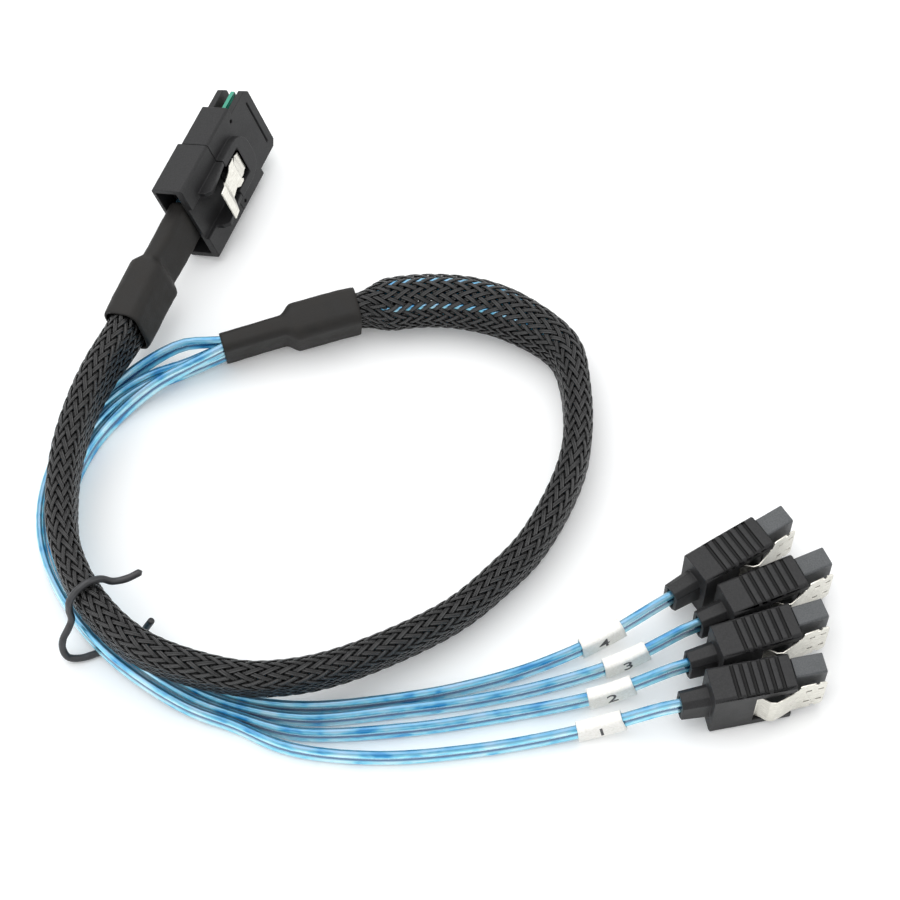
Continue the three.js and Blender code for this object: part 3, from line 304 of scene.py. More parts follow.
def moulded_plastic(name, dark, light, roughness, grain_mm, bump_mm, gloss=0.45):
    """Glass filled plastic from a spark eroded mould: an even fine grain with slightly polished spots."""
    material, tree, shader, place = new_material(name, IOR=1.5, Specular_IOR_Level=gloss)
    fine = noise_over(tree, place, grain_mm, 3.0)
    broad = noise_over(tree, place, 6, 2.0)
    varied(tree, shader, "Base Color", mixed(tree, 0.35, fine, broad), (0.35, dark), (0.65, light))
    varied(tree, shader, "Roughness", broad, (0.3, roughness - 0.07), (0.7, roughness + 0.07))
    bumped(tree, shader, fine, 0.35, bump_mm)
    return material


def stamped_spring_steel():
    """Stamped stainless strip: rolled straight, so fine streaks run along it and its gloss is uneven."""
    material, tree, shader, place = new_material("stamped spring steel", Metallic=1.0)
    stretched = add_node(tree, "ShaderNodeMapping", {"Vector": place, "Scale": (1.0, 1.0, 9.0)})
    streaks = noise_over(tree, stretched.outputs["Vector"], 1.2, 4.0)
    varied(tree, shader, "Base Color", streaks, (0.3, 0xC9C6BC), (0.7, 0xF1EFE7))
    varied(tree, shader, "Roughness", streaks, (0.3, 0.24), (0.7, 0.42))
    bumped(tree, shader, streaks, 0.2, 0.02)
    return material


def gold_plated_contact():
    """Gold flash over nickel: warm and bright, a little uneven."""
    material, tree, shader, place = new_material("gold plated contact", Metallic=1.0)
    cloudy = noise_over(tree, place, 0.8, 2.0)
    varied(tree, shader, "Base Color", cloudy, (0.3, 0xB9803C), (0.7, 0xE2B878))
    varied(tree, shader, "Roughness", cloudy, (0.3, 0.22), (0.7, 0.36))
    return material


def solder_resist():
    """Green resist over etched copper: glossy, with tracks 0.8 mm apart that show as lighter ribs."""
    material, tree, shader, _ = new_material("solder resist", Roughness=0.3, IOR=1.5, Coat_Weight=0.5)
    wave = {"Vector": uv_of(tree, "across"), "Scale": 0.314 / (0.8 * MM), "Distortion": 0.0}
    tracks = add_node(tree, "ShaderNodeTexWave", wave, bands_direction="X").outputs["Fac"]
    varied(tree, shader, "Base Color", tracks, (0.4, 0x1B8069), (0.6, 0x39B596))
    bumped(tree, shader, tracks, 0.4, 0.03)
    return material


def shrunk_polyolefin():
    """Heat shrunk polyolefin tube: matt, warm black, with faint puckers and a dusty bloom."""
    material, tree, shader, place = new_material("shrunk polyolefin", IOR=1.5, Specular_IOR_Level=0.28)
    bloom = noise_over(tree, place, 4, 5.0)
    fine = noise_over(tree, place, 0.35, 3.0)
    varied(tree, shader, "Base Color", bloom, (0.3, 0x181716), (0.72, 0x262422))
    varied(tree, shader, "Roughness", bloom, (0.3, 0.52), (0.7, 0.72))
    bumped(tree, shader, computed(tree, "ADD", bloom, fine), 0.4, 0.12)
    return material


def braided_polyester():
    """Flat strands of three polyester monofilaments: dark, each filament with its own long glint, and with
    painted shade, near black, in the troughs between the filaments.
    """
    material, tree, shader, place = new_material(
        "braided polyester monofilament", Roughness=0.27, IOR=1.5, Specular_IOR_Level=0.6)
    turns = computed(tree, "MULTIPLY", first_of(tree, uv_of(tree, "strand")), 3 * math.tau)
    lobes = computed(tree, "COSINE", turns)
    cloudy = noise_over(tree, place, 1.6, 3.0)
    colour = ramp_between(tree, cloudy, (0.35, 0x0E0E0F), (0.7, 0x1F1F20))
    # Near black is mixed into the troughs between the filaments: painted shade.
    outside_trough_shade = ramp_between(tree, lobes, (0.0, 1.0), (0.7, 0.0))
    tree.links.new(mixed(tree, outside_trough_shade, linear(0x030303), colour, "RGBA"), shader.inputs["Base Color"])
    bumped(tree, shader, computed(tree, "MULTIPLY", lobes, -0.5), 0.9, 0.14)
    return material


def foil_under_film(colour):
    """Shield foil wrapped under a clear blue film: bright metal through blue, with creases and laps, pale
    painted highlights on the creases, a deeper blue along the groove that is partly glue and partly painted
    shade, and painted shade towards the top and bottom edges.
    """
    material, tree, shader, place = new_material(
        "foil under blue film", Metallic=0.55, Roughness=0.26, Coat_Weight=0.8, Coat_Roughness=0.08,
        Coat_IOR=1.5)
    along = uv_of(tree, "jacket")
    wave = {
        "Vector": along, "Scale": 0.314 / (7 * MM), "Distortion": 1.5, "Detail": 2.0, "Detail Scale": 2.0}
    laps = add_node(
        tree, "ShaderNodeTexWave", wave, wave_type="BANDS", bands_direction="DIAGONAL", wave_profile="SAW")
    stretched = add_node(tree, "ShaderNodeMapping", {"Vector": along, "Scale": (1.0, 0.12, 1.0)})
    creases = noise_over(tree, stretched.outputs["Vector"], 0.9, 5.0, Roughness=0.6)
    tint = noise_over(tree, place, 5, 2.0)
    # The crease ramp mixes the foil's uneven tone with painted highlights: its pale end stands in for light
    # caught on the creases.
    pale = [c * 0.5 + 0.5 for c in colour]
    blue = [colour[0] * 0.15, colour[1] * 0.68, colour[2] * 0.86]
    deep = [colour[0] * 0.05, colour[1] * 0.38, colour[2] * 0.56]
    creased = ramp_between(tree, mixed(tree, 0.5, creases, tint), (0.38, blue), (0.48, colour), (0.58, pale))
    # Deeper blue along the groove between the ridges, partly glue under the film and partly painted shade;
    # towards the top and bottom edges the blue deepens again, which is painted shade.
    height_up = first_of(tree, uv_of(tree, "height"))
    groove = ramp_between(tree, height_up, (0.12, 0.0), (0.36, 1.0), (0.8, 1.0), (1.0, 0.25))
    tree.links.new(mixed(tree, groove, linear(deep), creased, "RGBA"), shader.inputs["Base Color"])
    bumped(tree, shader, computed(tree, "ADD", laps.outputs["Fac"], creases), 0.45, 0.09)
    return material


def label_paper():
    """Uncoated paper label: off white, with short fibres."""
    material, tree, shader, place = new_material("label paper", Roughness=0.8, Specular_IOR_Level=0.3)
    fibres = noise_over(tree, place, 0.5, 5.0)
    varied(tree, shader, "Base Color", fibres, (0.3, 0xECEAE4), (0.7, 0xFBFAF7))
    bumped(tree, shader, fibres, 0.25, 0.03)
    return material


def printed_ink():
    """Black printed figure: slightly uneven in cover."""
    material, tree, shader, place = new_material("printed ink", Roughness=0.6)
    cover = noise_over(tree, place, 0.3, 3.0)
    varied(tree, shader, "Base Color", cover, (0.3, 0x2B2B2D), (0.75, 0x4A4A4D))
    return material


def coated_wire():
    """Iron wire in extruded black vinyl: smooth, softly shiny, faintly uneven."""
    material, tree, shader, place = new_material("vinyl coated wire", IOR=1.53, Specular_IOR_Level=0.5)
    cloudy = noise_over(tree, place, 2, 3.0)
    varied(tree, shader, "Base Color", cloudy, (0.3, 0x1F2022), (0.7, 0x2D2E31))
    varied(tree, shader, "Roughness", cloudy, (0.3, 0.36), (0.7, 0.5))
    bumped(tree, shader, cloudy, 0.15, 0.05)
    return material


def seen_directly(tree):
    """1 for what the camera, a mirror or a clear piece sees, and 0 for the light that falls on things."""
    path = add_node(tree, "ShaderNodeLightPath").outputs
    either = computed(tree, "MAXIMUM", path["Is Camera Ray"], path["Is Transmission Ray"])
    return computed(tree, "MAXIMUM", either, path["Is Glossy Ray"])


def lifted(tree, low, high):
    """A low level for the light that falls on things, and a high one for what is seen directly."""
    links = {"Value": seen_directly(tree), "To Min": low, "To Max": high}
    return add_node(tree, "ShaderNodeMapRange", links).outputs["Result"]


def pale_table():
    """Even white table top. The camera and mirrors see it a little brighter than the lamps make it."""
    material, tree, shader, place = new_material("pale table top", Roughness=0.9, Specular_IOR_Level=0.1)
    soft = noise_over(tree, place, TABLE_CLOUD, 1.0)
    varied(tree, shader, "Base Color", soft, (0.2, 0xF8F9FA), (0.8, 0xFBFCFC))
    tree.links.new(lifted(tree, 0.0, 0.1), shader.inputs["Emission Strength"])
    shader.inputs["Emission Color"].default_value = (1, 1, 1, 1)
    return material


FINISH_MAKERS = {
    "body": lambda: moulded_plastic("moulded black PBT", 0x1D1D1E, 0x2A2A2B, 0.5, 0.35, 0.06, 0.3),
    # The groove finish is near black: painted shade for the floors of the SATA grip grooves.
    "groove": lambda: moulded_plastic("moulded black PBT, painted groove shade", 0x060606, 0x0B0B0C, 0.5, 0.3, 0.01, 0.2),
    "nose": lambda: moulded_plastic("moulded grey LCP", 0x414446, 0x56585A, 0.46, 0.3, 0.04),
    "glue": lambda: moulded_plastic("hot melt block", 0x1A1A1C, 0x29292B, 0.6, 0.8, 0.1),
    "laminate": lambda: moulded_plastic("cut glass laminate", 0xC9B98A, 0xE2D6AE, 0.6, 0.3, 0.05),
    "steel": stamped_spring_steel,
    "gold": gold_plated_contact,
    "board": solder_resist,
    "shrink": shrunk_polyolefin,
    "braid": braided_polyester,
    "paper": label_paper,
    "ink": printed_ink,
    "tie": coated_wire,
}
_finishes = {}


def finish_of(name):
    """Each material is made once."""
    if name not in _finishes:
        if name == "film":
            _finishes[name] = foil_under_film(tuple(bpy.context.scene.breakout_cords.film_colour))
        else:
            _finishes[name] = FINISH_MAKERS[name]()
    return _finishes[name]


# Routes


class Route:
    """A centripetal curve through given points in millimetres, walked by distance."""

    PIECES = 48

    def __init__(self, points, rolls=None):
        self.points = [Vector(p) for p in points]
        self.rolls = rolls
        first = self.points[0] * 2 - self.points[1]
        last = self.points[-1] * 2 - self.points[-2]
        self.padded = [first, *self.points, last]
        self.spans = len(self.points) - 1
        steps = self.spans * self.PIECES
        self.lengths = [0.0]
        before = self.at(0)
        for i in range(1, steps + 1):
            here = self.at(i / steps)
            self.lengths.append(self.lengths[-1] + (here - before).length)
            before = here
        self.length = self.lengths[-1]

    def at(self, share):
        """Point at a share of the parameter, which steps evenly from point to point."""
        spot = min(max(share, 0.0), 1.0) * self.spans
        span = min(int(spot), self.spans - 1)
        t = spot - span
        p0, p1, p2, p3 = self.padded[span:span + 4]
        d0, d1, d2 = (max((b - a).length, 1e-4) ** 0.5 for a, b in ((p0, p1), (p1, p2), (p2, p3)))
        leave = ((p1 - p0) / d0 - (p2 - p0) / (d0 + d1) + (p2 - p1) / d1) * d1
        enter = ((p2 - p1) / d1 - (p3 - p1) / (d1 + d2) + (p3 - p2) / d2) * d1
        slope = (p1 - p2) * 2 + leave + enter
        bend = (p2 - p1) * 3 - leave * 2 - enter
        return p1 + leave * t + bend * t * t + slope * t * t * t

    def share_at(self, distance):
        distance = min(max(distance, 0.0), self.length)
        low, high = 0, len(self.lengths) - 1
        while high - low > 1:
            middle = (low + high) // 2
            if self.lengths[middle] <= distance:
                low = middle
            else:
                high = middle
        span = self.lengths[high] - self.lengths[low]
        return (low + (distance - self.lengths[low]) / span) / (len(self.lengths) - 1)

    def along(self, share):
        step = 1e-4
        return (self.at(min(share + step, 1)) - self.at(max(share - step, 0))).normalized()

    def station(self, distance, roll=None):
        """Point, and the directions along, to the left and up, with the roll in degrees."""
        share = self.share_at(distance)
        if roll is None:
            roll = 0
            if self.rolls:
                spot = share * self.spans
                span = min(int(spot), self.spans - 1)
                roll = self.rolls[span] + (self.rolls[span + 1] - self.rolls[span]) * (spot - span)
        along = self.along(share)
        level = Vector((0, 0, 1)).cross(along).normalized()
        rise = along.cross(level).normalized()
        c, s = math.cos(math.radians(roll)), math.sin(math.radians(roll))
        return self.at(share), along, level * c - rise * s, rise * c + level * s


def smoothstep(value, low, high):
    t = min(max((value - low) / (high - low), 0.0), 1.0)
    return t * t * (3 - 2 * t)


def between(a, b, share):
    return a + (b - a) * share


def plug_axes():
    """Forward, across and out directions of the mini SAS plug, and the middle of its rear end."""
    forward = Vector((math.cos(PLUG_HEADING), math.sin(PLUG_HEADING), 0))
    level = Vector((math.sin(PLUG_HEADING), -math.cos(PLUG_HEADING), 0))
    roll = math.radians(PLUG_ROLL)
    out = level * math.cos(roll) + Vector((0, 0, 1)) * math.sin(roll)
    across = out.cross(forward)
    floor = -PLUG_THICKNESS / 2 - REAR_SHELL_PROUD
    height = max(
        (PLUG_WIDTH / 2 - PLUG_CHAMFER) * across.z - floor * out.z,
        PLUG_WIDTH / 2 * across.z - (floor + PLUG_CHAMFER) * out.z)
    return forward, across, out, Vector((*PLUG_REAR, height))


def plug_point(x, z):
    forward, _, out, rear = plug_axes()
    return rear + forward * x + out * z


def sata_point(index, x):
    px, py, heading = SATA_PLACES[index]
    turn = math.radians(heading)
    return Vector((px + x * math.cos(turn), py + x * math.sin(turn), SATA_WIDTH / 2))


def placement(forward, across, out, origin):
    """Matrix from a plug's own millimetres to the frame in metres."""
    columns = Matrix((forward, across, out)).transposed().to_4x4()
    return Matrix.Scale(MM, 4) @ Matrix.Translation(origin + SHIFT) @ columns


def plug_matrix():
    return placement(*plug_axes())


def sata_matrix(index):
    turn = math.radians(SATA_PLACES[index][2])
    forward = Vector((math.cos(turn), math.sin(turn), 0))
    return placement(forward, Vector((0, 0, 1)), forward.cross(Vector((0, 0, 1))), sata_point(index, 0))


TRUNK_POINTS = [
    (*plug_point(CABLE_START, CAVITY_MIDDLE), -PLUG_ROLL),
    (*plug_point(0, CAVITY_MIDDLE), -PLUG_ROLL),
    (*plug_point(-CABLE_LEAD, CAVITY_MIDDLE), -PLUG_ROLL),
    *TRUNK_ROUTE,
    TRUNK_END,
]
TRUNK = Route([p[:3] for p in TRUNK_POINTS], [p[3] for p in TRUNK_POINTS])
PLUG_SHRINK_START = CABLE_START - PLUG_SHRINK_TUCK
PLUG_SHRINK_FOOT = CABLE_START + PLUG_SHRINK_NARROW
PLUG_SHRINK_END = PLUG_SHRINK_FOOT + PLUG_SHRINK_WIDE
SLEEVE_START = PLUG_SHRINK_END - SLEEVE_LAP
BREAKOUT_END = TRUNK.length - CABLE_SPACING
BREAKOUT_FOOT = BREAKOUT_END - BREAKOUT_NARROW
BREAKOUT_START = BREAKOUT_FOOT - BREAKOUT_WIDE
SLEEVE_END = BREAKOUT_START + SLEEVE_LAP
PACK_ACROSS = (CABLE_THICKNESS + CABLE_SPACING) / 2
PACK_OVER = (CABLE_WIDTH + CABLE_SPACING) / 2
CABLE_LOW = CABLE_WIDTH / 2 + TABLE_CLEARANCE


def bulge_share(distance):
    rise = smoothstep(distance, BREAKOUT_START - SLEEVE_BULGE_REACH, BREAKOUT_START - SLEEVE_BULGE_FULL)
    return rise * (1 - smoothstep(distance, BREAKOUT_START - SLEEVE_GATHER, BREAKOUT_START))


def bundle_points(index):
    start = TRUNK.station(TRUNK.length)[0]
    middle = Route([start, *(Vector((x, y, CABLE_LOW)) for x, y, _ in BUNDLE_ROUTE)])
    across = (index - 1.5) * BUNDLE_PITCH
    points = []
    for i, (x, y, lift) in enumerate(BUNDLE_ROUTE):
        along = middle.along((i + 1) / len(BUNDLE_ROUTE))
        left = Vector((-along.y, along.x, 0)).normalized()
        over = 0
        if PACK_PLACES[index][1] > 0 and i < len(UPPER_LIFT):
            over = UPPER_LIFT[i] * 2 * PACK_OVER
        points.append(Vector((x, y, CABLE_LOW + lift + over)) + left * across)
    return points


def packed_station(index, distance):
    """Station of one flat cable inside the trunk, in the two by two pack."""
    at, along, side, up = TRUNK.station(distance)
    across, over = PACK_PLACES[index]
    loose = bulge_share(distance)
    across *= PACK_ACROSS + loose * PACK_LOOSE_ACROSS
    over *= PACK_OVER + loose * PACK_LOOSE_OVER
    return at + side * across + up * over, along, side, up


def free_route(index):
    return Route([
        packed_station(index, TRUNK.length)[0],
        *bundle_points(index),
        *(Vector((x, y, CABLE_LOW + lift)) for x, y, lift in FAN_ROUTES[index]),
        sata_point(index, -BOOT_LENGTH - BOOT_LEAD),
        sata_point(index, -BOOT_LENGTH),
        sata_point(index, CABLE_REACH),
    ])


FREE_ROUTES = [free_route(index) for index in range(CABLE_COUNT)]


def free_station(index, distance):
    roll = TRUNK_END[3] * (1 - smoothstep(distance, 0, CABLE_SETTLE))
    return FREE_ROUTES[index].station(distance, roll)


def evenly(start, end, step):
    """Distances from start to end, about a step apart, with both ends."""
    count = max(1, round((end - start) / step))
    return [start + (end - start) * i / count for i in range(count + 1)]


def walked(points):
    """Distance along a line of points, at each of them."""
    return list(accumulate((math.dist(a, b) for a, b in zip(points, points[1:])), initial=0.0))


# Meshes


def add_object(name, data):
    thing = bpy.data.objects.new(name, data)
    bpy.context.scene.collection.objects.link(thing)
    return thing


def new_object(name, verts, faces, material, smooth=True):
    mesh = bpy.data.meshes.new(name)
    mesh.from_pydata([tuple(v) for v in verts], [], faces)
    mesh.validate()
    if smooth:
        mesh.shade_smooth()
    mesh.materials.append(material)
    return add_object(name, mesh)


def in_frame(point):
    return (point + SHIFT) * MM


def tube_faces(rings, size, first=0, capped=True):
    """Faces of a tube of rings that all have the same number of points."""
    faces = []
    for i in range(rings - 1):
        for j in range(size):
            a = first + i * size + j
            b = first + i * size + (j + 1) % size
            faces.append((a, b, b + size, a + size))
    if capped:
        faces.append(tuple(first + j for j in reversed(range(size))))
        faces.append(tuple(first + (rings - 1) * size + j for j in range(size)))
    return faces


def swept_verts(outlines, stations):
    """Rings of points from an outline, or one outline for each station, in the frame."""
    verts = []
    for outline, (at, _, side, up) in zip(outlines, stations):
        verts.extend(in_frame(at + side * x + up * y) for x, y in outline)
    return verts


def hollow_tube(outer, inner, stations):
    """Verts and faces of a tube with a wall: outside, inside and the two ring shaped ends."""
    size, rings = len(outer[0]), len(stations)
    inside, last = rings * size, (rings - 1) * size
    faces = tube_faces(rings, size, capped=False)
    faces += [tuple(reversed(face)) for face in tube_faces(rings, size, inside, capped=False)]
    for j in range(size):
        k = (j + 1) % size
        faces.append((j, inside + j, inside + k, k))
        faces.append((last + k, inside + last + k, inside + last + j, last + j))
    return swept_verts(outer, stations) + swept_verts(inner, stations), faces


def rounded_outline(width, height, corner, per_corner=7):
    points = []
    for quarter, (sx, sy) in enumerate(((1, 1), (-1, 1), (-1, -1), (1, -1))):
        for i in range(per_corner):
            angle = (quarter + i / (per_corner - 1)) * math.pi / 2
            points.append((
                sx * (width / 2 - corner) + corner * math.cos(angle),
                sy * (height / 2 - corner) + corner * math.sin(angle)))
    return points


def cable_outline(per_ridge=13):
    """Two round ridges with a groove between them, standing on edge."""
    radius = CABLE_THICKNESS / 2
    centre = CABLE_WIDTH / 2 - radius
    points = []
    for hand, first in ((1, -115), (-1, 65)):
        for i in range(per_ridge):
            angle = math.radians(first + 230 * i / (per_ridge - 1))
            points.append((-radius * math.sin(angle), hand * centre + radius * math.cos(angle)))
        points.append((-hand * CABLE_GROOVE / 2 * 0.8, 0))
    return points


def set_uv(thing, name, uvs):
    """One UV for each vertex, written to every corner that uses it."""
    layer = thing.data.uv_layers.new(name=name)
    loops = [0] * len(thing.data.loops)
    thing.data.loops.foreach_get("vertex_index", loops)
    flat = [value for vertex in loops for value in uvs[vertex]]
    layer.data.foreach_set("uv", flat)


def add_modifier(thing, kind, **settings):
    modifier = thing.modifiers.new(kind.lower(), kind)
    for name, value in settings.items():
        setattr(modifier, name, value)


def apply_modifiers(thing):
    """Writes the modifiers' result into the mesh."""
    graph = bpy.context.evaluated_depsgraph_get()
    made = bpy.data.meshes.new_from_object(thing.evaluated_get(graph), depsgraph=graph)
    thing.modifiers.clear()
    thing.data = made


def joined(name, parts):
    """One object from several that have one material each."""
    mesh = bpy.data.meshes.new(name)
    whole = bmesh.new()
    for part in parts:
        start = len(whole.faces)
        whole.from_mesh(part.data)
        whole.faces.ensure_lookup_table()
        material = part.data.materials[0]
        if material.name not in mesh.materials:
            mesh.materials.append(material)
        for face in whole.faces[start:]:
            face.material_index = mesh.materials.find(material.name)
        bpy.data.objects.remove(part)
    whole.to_mesh(mesh)
    whole.free()
    return add_object(name, mesh)


def rounded_copy(node, name, material, width, segments=2, moved=None):
    """The shape of a solid with its edges rounded and its flat faces kept flat."""
    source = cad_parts[node]
    work = bmesh.new()
    work.from_mesh(source.data)
    bmesh.ops.remove_doubles(work, verts=work.verts, dist=1e-6)
    if moved:
        for vert in work.verts:
            vert.co = moved(vert.co)
    bmesh.ops.dissolve_limit(
        work, angle_limit=math.radians(1), verts=work.verts, edges=work.edges, delimit=set())
    mesh = bpy.data.meshes.new(name)
    work.to_mesh(mesh)
    work.free()
    mesh.materials.clear()
    mesh.materials.append(material)
    thing = add_object(name, mesh)
    add_modifier(
        thing, "BEVEL", width=width, segments=segments, limit_method="ANGLE", angle_limit=math.radians(28),
        use_clamp_overlap=False, harden_normals=False, miter_outer="MITER_SHARP")
    apply_modifiers(thing)
    thing.data.shade_smooth()
    add_modifier(thing, "WEIGHTED_NORMAL", keep_sharp=True, weight=50)
    apply_modifiers(thing)
    return thing


def closed_seam(point):
    """Brings the rear of the front housing up to the rear shell, as two mouldings pressed together."""
    local = plug_matrix().inverted() @ point
    if local.x < REAR_SHELL_LENGTH + SEAM + SEAM_REACH:
        local.x -= SEAM * SEAM_CLOSED
    return plug_matrix() @ local


def paint_grip_shade(piece, index):
    """Paints shade on the finger grooves on both narrow sides: their floors get a darker finish than the
    plastic round them.
    """
    inverse = sata_matrix(index).inverted()
    piece.data.materials.append(finish_of("groove"))
    for polygon in piece.data.polygons:
        local = inverse @ polygon.center
        if GRIP_RANGE[0] < local.x < GRIP_RANGE[1] and abs(local.z) < GRIP_REACH:
            if GRIP_WALLS[0] < abs(local.y) < GRIP_WALLS[1]:
                polygon.material_index = 1


# Pieces


def braid_section(distance):
    share = bulge_share(distance)
    width = between(SLEEVE[0], SLEEVE_BULGE[0], share)
    height = between(SLEEVE[1], SLEEVE_BULGE[1], share)
    return width, height, min(SLEEVE_CORNER * width / SLEEVE[0], width / 2 - 0.01)


def section_spot(width, height, corner, share):
    """Point and outward direction at a share of the way round a rounded rectangle."""
    straight_x, straight_y = width - 2 * corner, height - 2 * corner
    arc = corner * math.pi / 2
    walk = (share % 1.0) * (2 * straight_x + 2 * straight_y + 4 * arc)
    legs = (
        (arc, 1, 1), (straight_x, 0, 1), (arc, -1, 1), (straight_y, -1, 0), (arc, -1, -1),
        (straight_x, 0, -1), (arc, 1, -1), (straight_y, 1, 0))
    half_x, half_y = straight_x / 2, straight_y / 2
    quarter = 0
    for length, sx, sy in legs:
        if walk <= length or (sx, sy) == (1, 0):
            if sx and sy:
                angle = (quarter + walk / corner / (math.pi / 2)) * math.pi / 2
                normal = (math.cos(angle), math.sin(angle))
                return sx * half_x + corner * normal[0], sy * half_y + corner * normal[1], *normal
            if sx == 0:
                return sy * (half_x - walk), sy * height / 2, 0.0, float(sy)
            return sx * width / 2, -sx * (half_y - walk), float(sx), 0.0
        walk -= length
        if sx and sy:
            quarter += 1
    return width / 2, 0.0, 1.0, 0.0


def perimeter(width, height, corner):
    return 2 * (width + height - 4 * corner) + math.tau * corner


def braided_sleeve(settings):
    """Woven strands, two over and two under, which open where the sleeve swells."""
    count = settings.strands
    half = settings.strand_width / MM / 2
    marks = evenly(SLEEVE_START, SLEEVE_END, FINE_STEP)
    stations = [TRUNK.station(mark) for mark in marks]
    sections = [braid_section(mark) for mark in marks]
    relaxed = perimeter(*braid_section(SLEEVE_START))
    turn_length = relaxed / math.sin(settings.braid_angle)
    turned = [0.0]
    for before, after, section in zip(marks, marks[1:], sections[1:]):
        around = perimeter(*section)
        angle = math.asin(min(around / turn_length, STEEPEST))
        turned.append(turned[-1] + (after - before) * math.tan(angle) / around)
    verts, faces, uvs = [], [], []
    for way in (1, -1):
        for strand in range(count):
            first = len(verts)
            for i, (mark, station, section) in enumerate(zip(marks, stations, sections)):
                at, along, side, up = station
                around = perimeter(*section)
                share = strand / count + way * turned[i]
                crossing = 2 * strand + way * 2 * count * turned[i]
                wave = way * math.cos(math.tau * (crossing - 0.5) / 4)
                lift = STRAND_WAVE * min(max(STRAND_FLATTEN * wave, -1), 1) - STRAND_DEPTH
                x, y, nx, ny = section_spot(*section, share)
                spot = at + side * (x + nx * lift) + up * (y + ny * lift)
                outward = side * nx + up * ny
                around_way = side * -ny + up * nx
                angle = math.asin(min(around / turn_length, STEEPEST))
                sideways = around_way * math.cos(angle) - along * way * math.sin(angle)
                for across, height in STRAND_SECTION:
                    verts.append(in_frame(spot + sideways * across * half + outward * height))
                    uvs.append(((across + 1) / 2, mark * MM))
            faces.extend(tube_faces(len(marks), len(STRAND_SECTION), first))
    sleeve = new_object("woven_sleeve", verts, faces, finish_of("braid"))
    set_uv(sleeve, "strand", uvs)
    return sleeve


def shrink_tube(name, start, end, share_at, seed):
    """A shrunk tube over its cables and the end of the sleeve, with soft puckers and a turned edge."""
    marks = evenly(start, end, 0.6)
    stations = [TRUNK.station(mark) for mark in marks]

    def outlines(inset):
        made = []
        for mark in marks:
            share = share_at(mark)
            width = between(SHRINK[0], SHRINK_WIDE[0], share)
            height = between(SHRINK[1], SHRINK_WIDE[1], share)
            corner = between(SHRINK_CORNER, SHRINK_CORNER * 1.5, share)
            edge = SHRINK_EDGE * (1 - smoothstep(min(mark - start, end - mark), 0, 0.5))
            ring = []
            for x, y in rounded_outline(width - 2 * inset, height - 2 * inset, corner - inset / 2, 10):
                angle = math.atan2(y, x)
                c, s = math.cos(angle), math.sin(angle)
                pucker = SHRINK_PUCKER * noise.noise(Vector((c * 1.6, s * 1.6, mark * 0.12 + seed)))
                dent = SHRINK_DENT * noise.noise(Vector((c * 3, s * 3, mark * 0.5 + seed * 2)))
                shrink = 1 - (edge + SHRINK_SLACK + pucker + dent) / max(width, height) * 2
                ring.append((x * shrink, y * shrink))
            made.append(ring)
        return made

    return new_object(name, *hollow_tube(outlines(0), outlines(SHRINK_WALL), stations), finish_of("shrink"))


def flat_cable(index, step):
    """One flat cable from the mini SAS plug to its SATA plug, as a single strip with two ridges."""
    outline = cable_outline()
    stations = [packed_station(index, mark) for mark in evenly(0, TRUNK.length, step)[:-1]]
    stations += [free_station(index, mark) for mark in evenly(0, FREE_ROUTES[index].length, step)]
    verts = swept_verts([outline] * len(stations), stations)
    middles = [at for at, *_ in stations]
    uvs = [(across * MM, along * MM) for along in walked(middles) for across in walked(outline)]
    faces = tube_faces(len(stations), len(outline))
    cable = new_object(f"blue_flat_cable_{index + 1}", verts, faces, finish_of("film"))
    set_uv(cable, "jacket", uvs)
    # Across the width, from the groove to the edges: this places the painted shade in the groove and along
    # the edges.
    set_uv(cable, "height", [(abs(y) * 2 / CABLE_WIDTH, 0) for _ in stations for _, y in outline])
    return cable, [in_frame(at) for at in middles]


def label(index):
    """A paper label folded round the cable, with a plain figure on each side."""
    middle = FREE_ROUTES[index].length - CABLE_REACH - BOOT_LENGTH - LABEL_TO_BOOT
    marks = evenly(middle - LABEL_LENGTH / 2, middle + LABEL_LENGTH / 2, FINE_STEP)
    stations = [free_station(index, mark) for mark in marks]
    outer, inner = (
        [rounded_outline(CABLE_THICKNESS + 2 * grow, CABLE_WIDTH + 2 * grow, LABEL_CORNER + grow / 2, 6)]
        * len(marks) for grow in (LABEL_FIT + LABEL_WALL, LABEL_FIT))
    name = f"paper_label_{index + 1}"
    paper = new_object(name, *hollow_tube(outer, inner, stations), finish_of("paper"))
    reach = CABLE_THICKNESS / 2 + LABEL_FIT + LABEL_WALL
    return joined(name, [paper, *(figure_on_label(index, middle, hand, reach) for hand in (-1, 1))])


def figure_on_label(index, middle, hand, reach):
    """A printed figure, 3.4 mm high, on one flat side of a label."""
    curve = bpy.data.curves.new(f"figure_{index + 1}", "FONT")
    curve.body = str(index + 1)
    curve.size = FIGURE_SIZE
    curve.extrude = FIGURE_DEPTH
    curve.offset = FIGURE_WEIGHT
    curve.align_x = "CENTER"
    curve.align_y = "CENTER"
    curve.resolution_u = 4
    holder = add_object(curve.name, curve)
    at, _, side, up = free_station(index, middle)
    face = side * hand
    turned = Matrix((up.cross(face), up, face)).transposed()
    graph = bpy.context.evaluated_depsgraph_get()
    mesh = bpy.data.meshes.new_from_object(holder.evaluated_get(graph), depsgraph=graph)
    bpy.data.objects.remove(holder)
    place = turned.to_4x4()
    place.translation = at + face * (reach + FIGURE_DEPTH / 2) + SHIFT
    mesh.transform(Matrix.Scale(MM, 4) @ place)
    mesh.materials.clear()
    mesh.materials.append(finish_of("ink"))
    return add_object(curve.name, mesh)


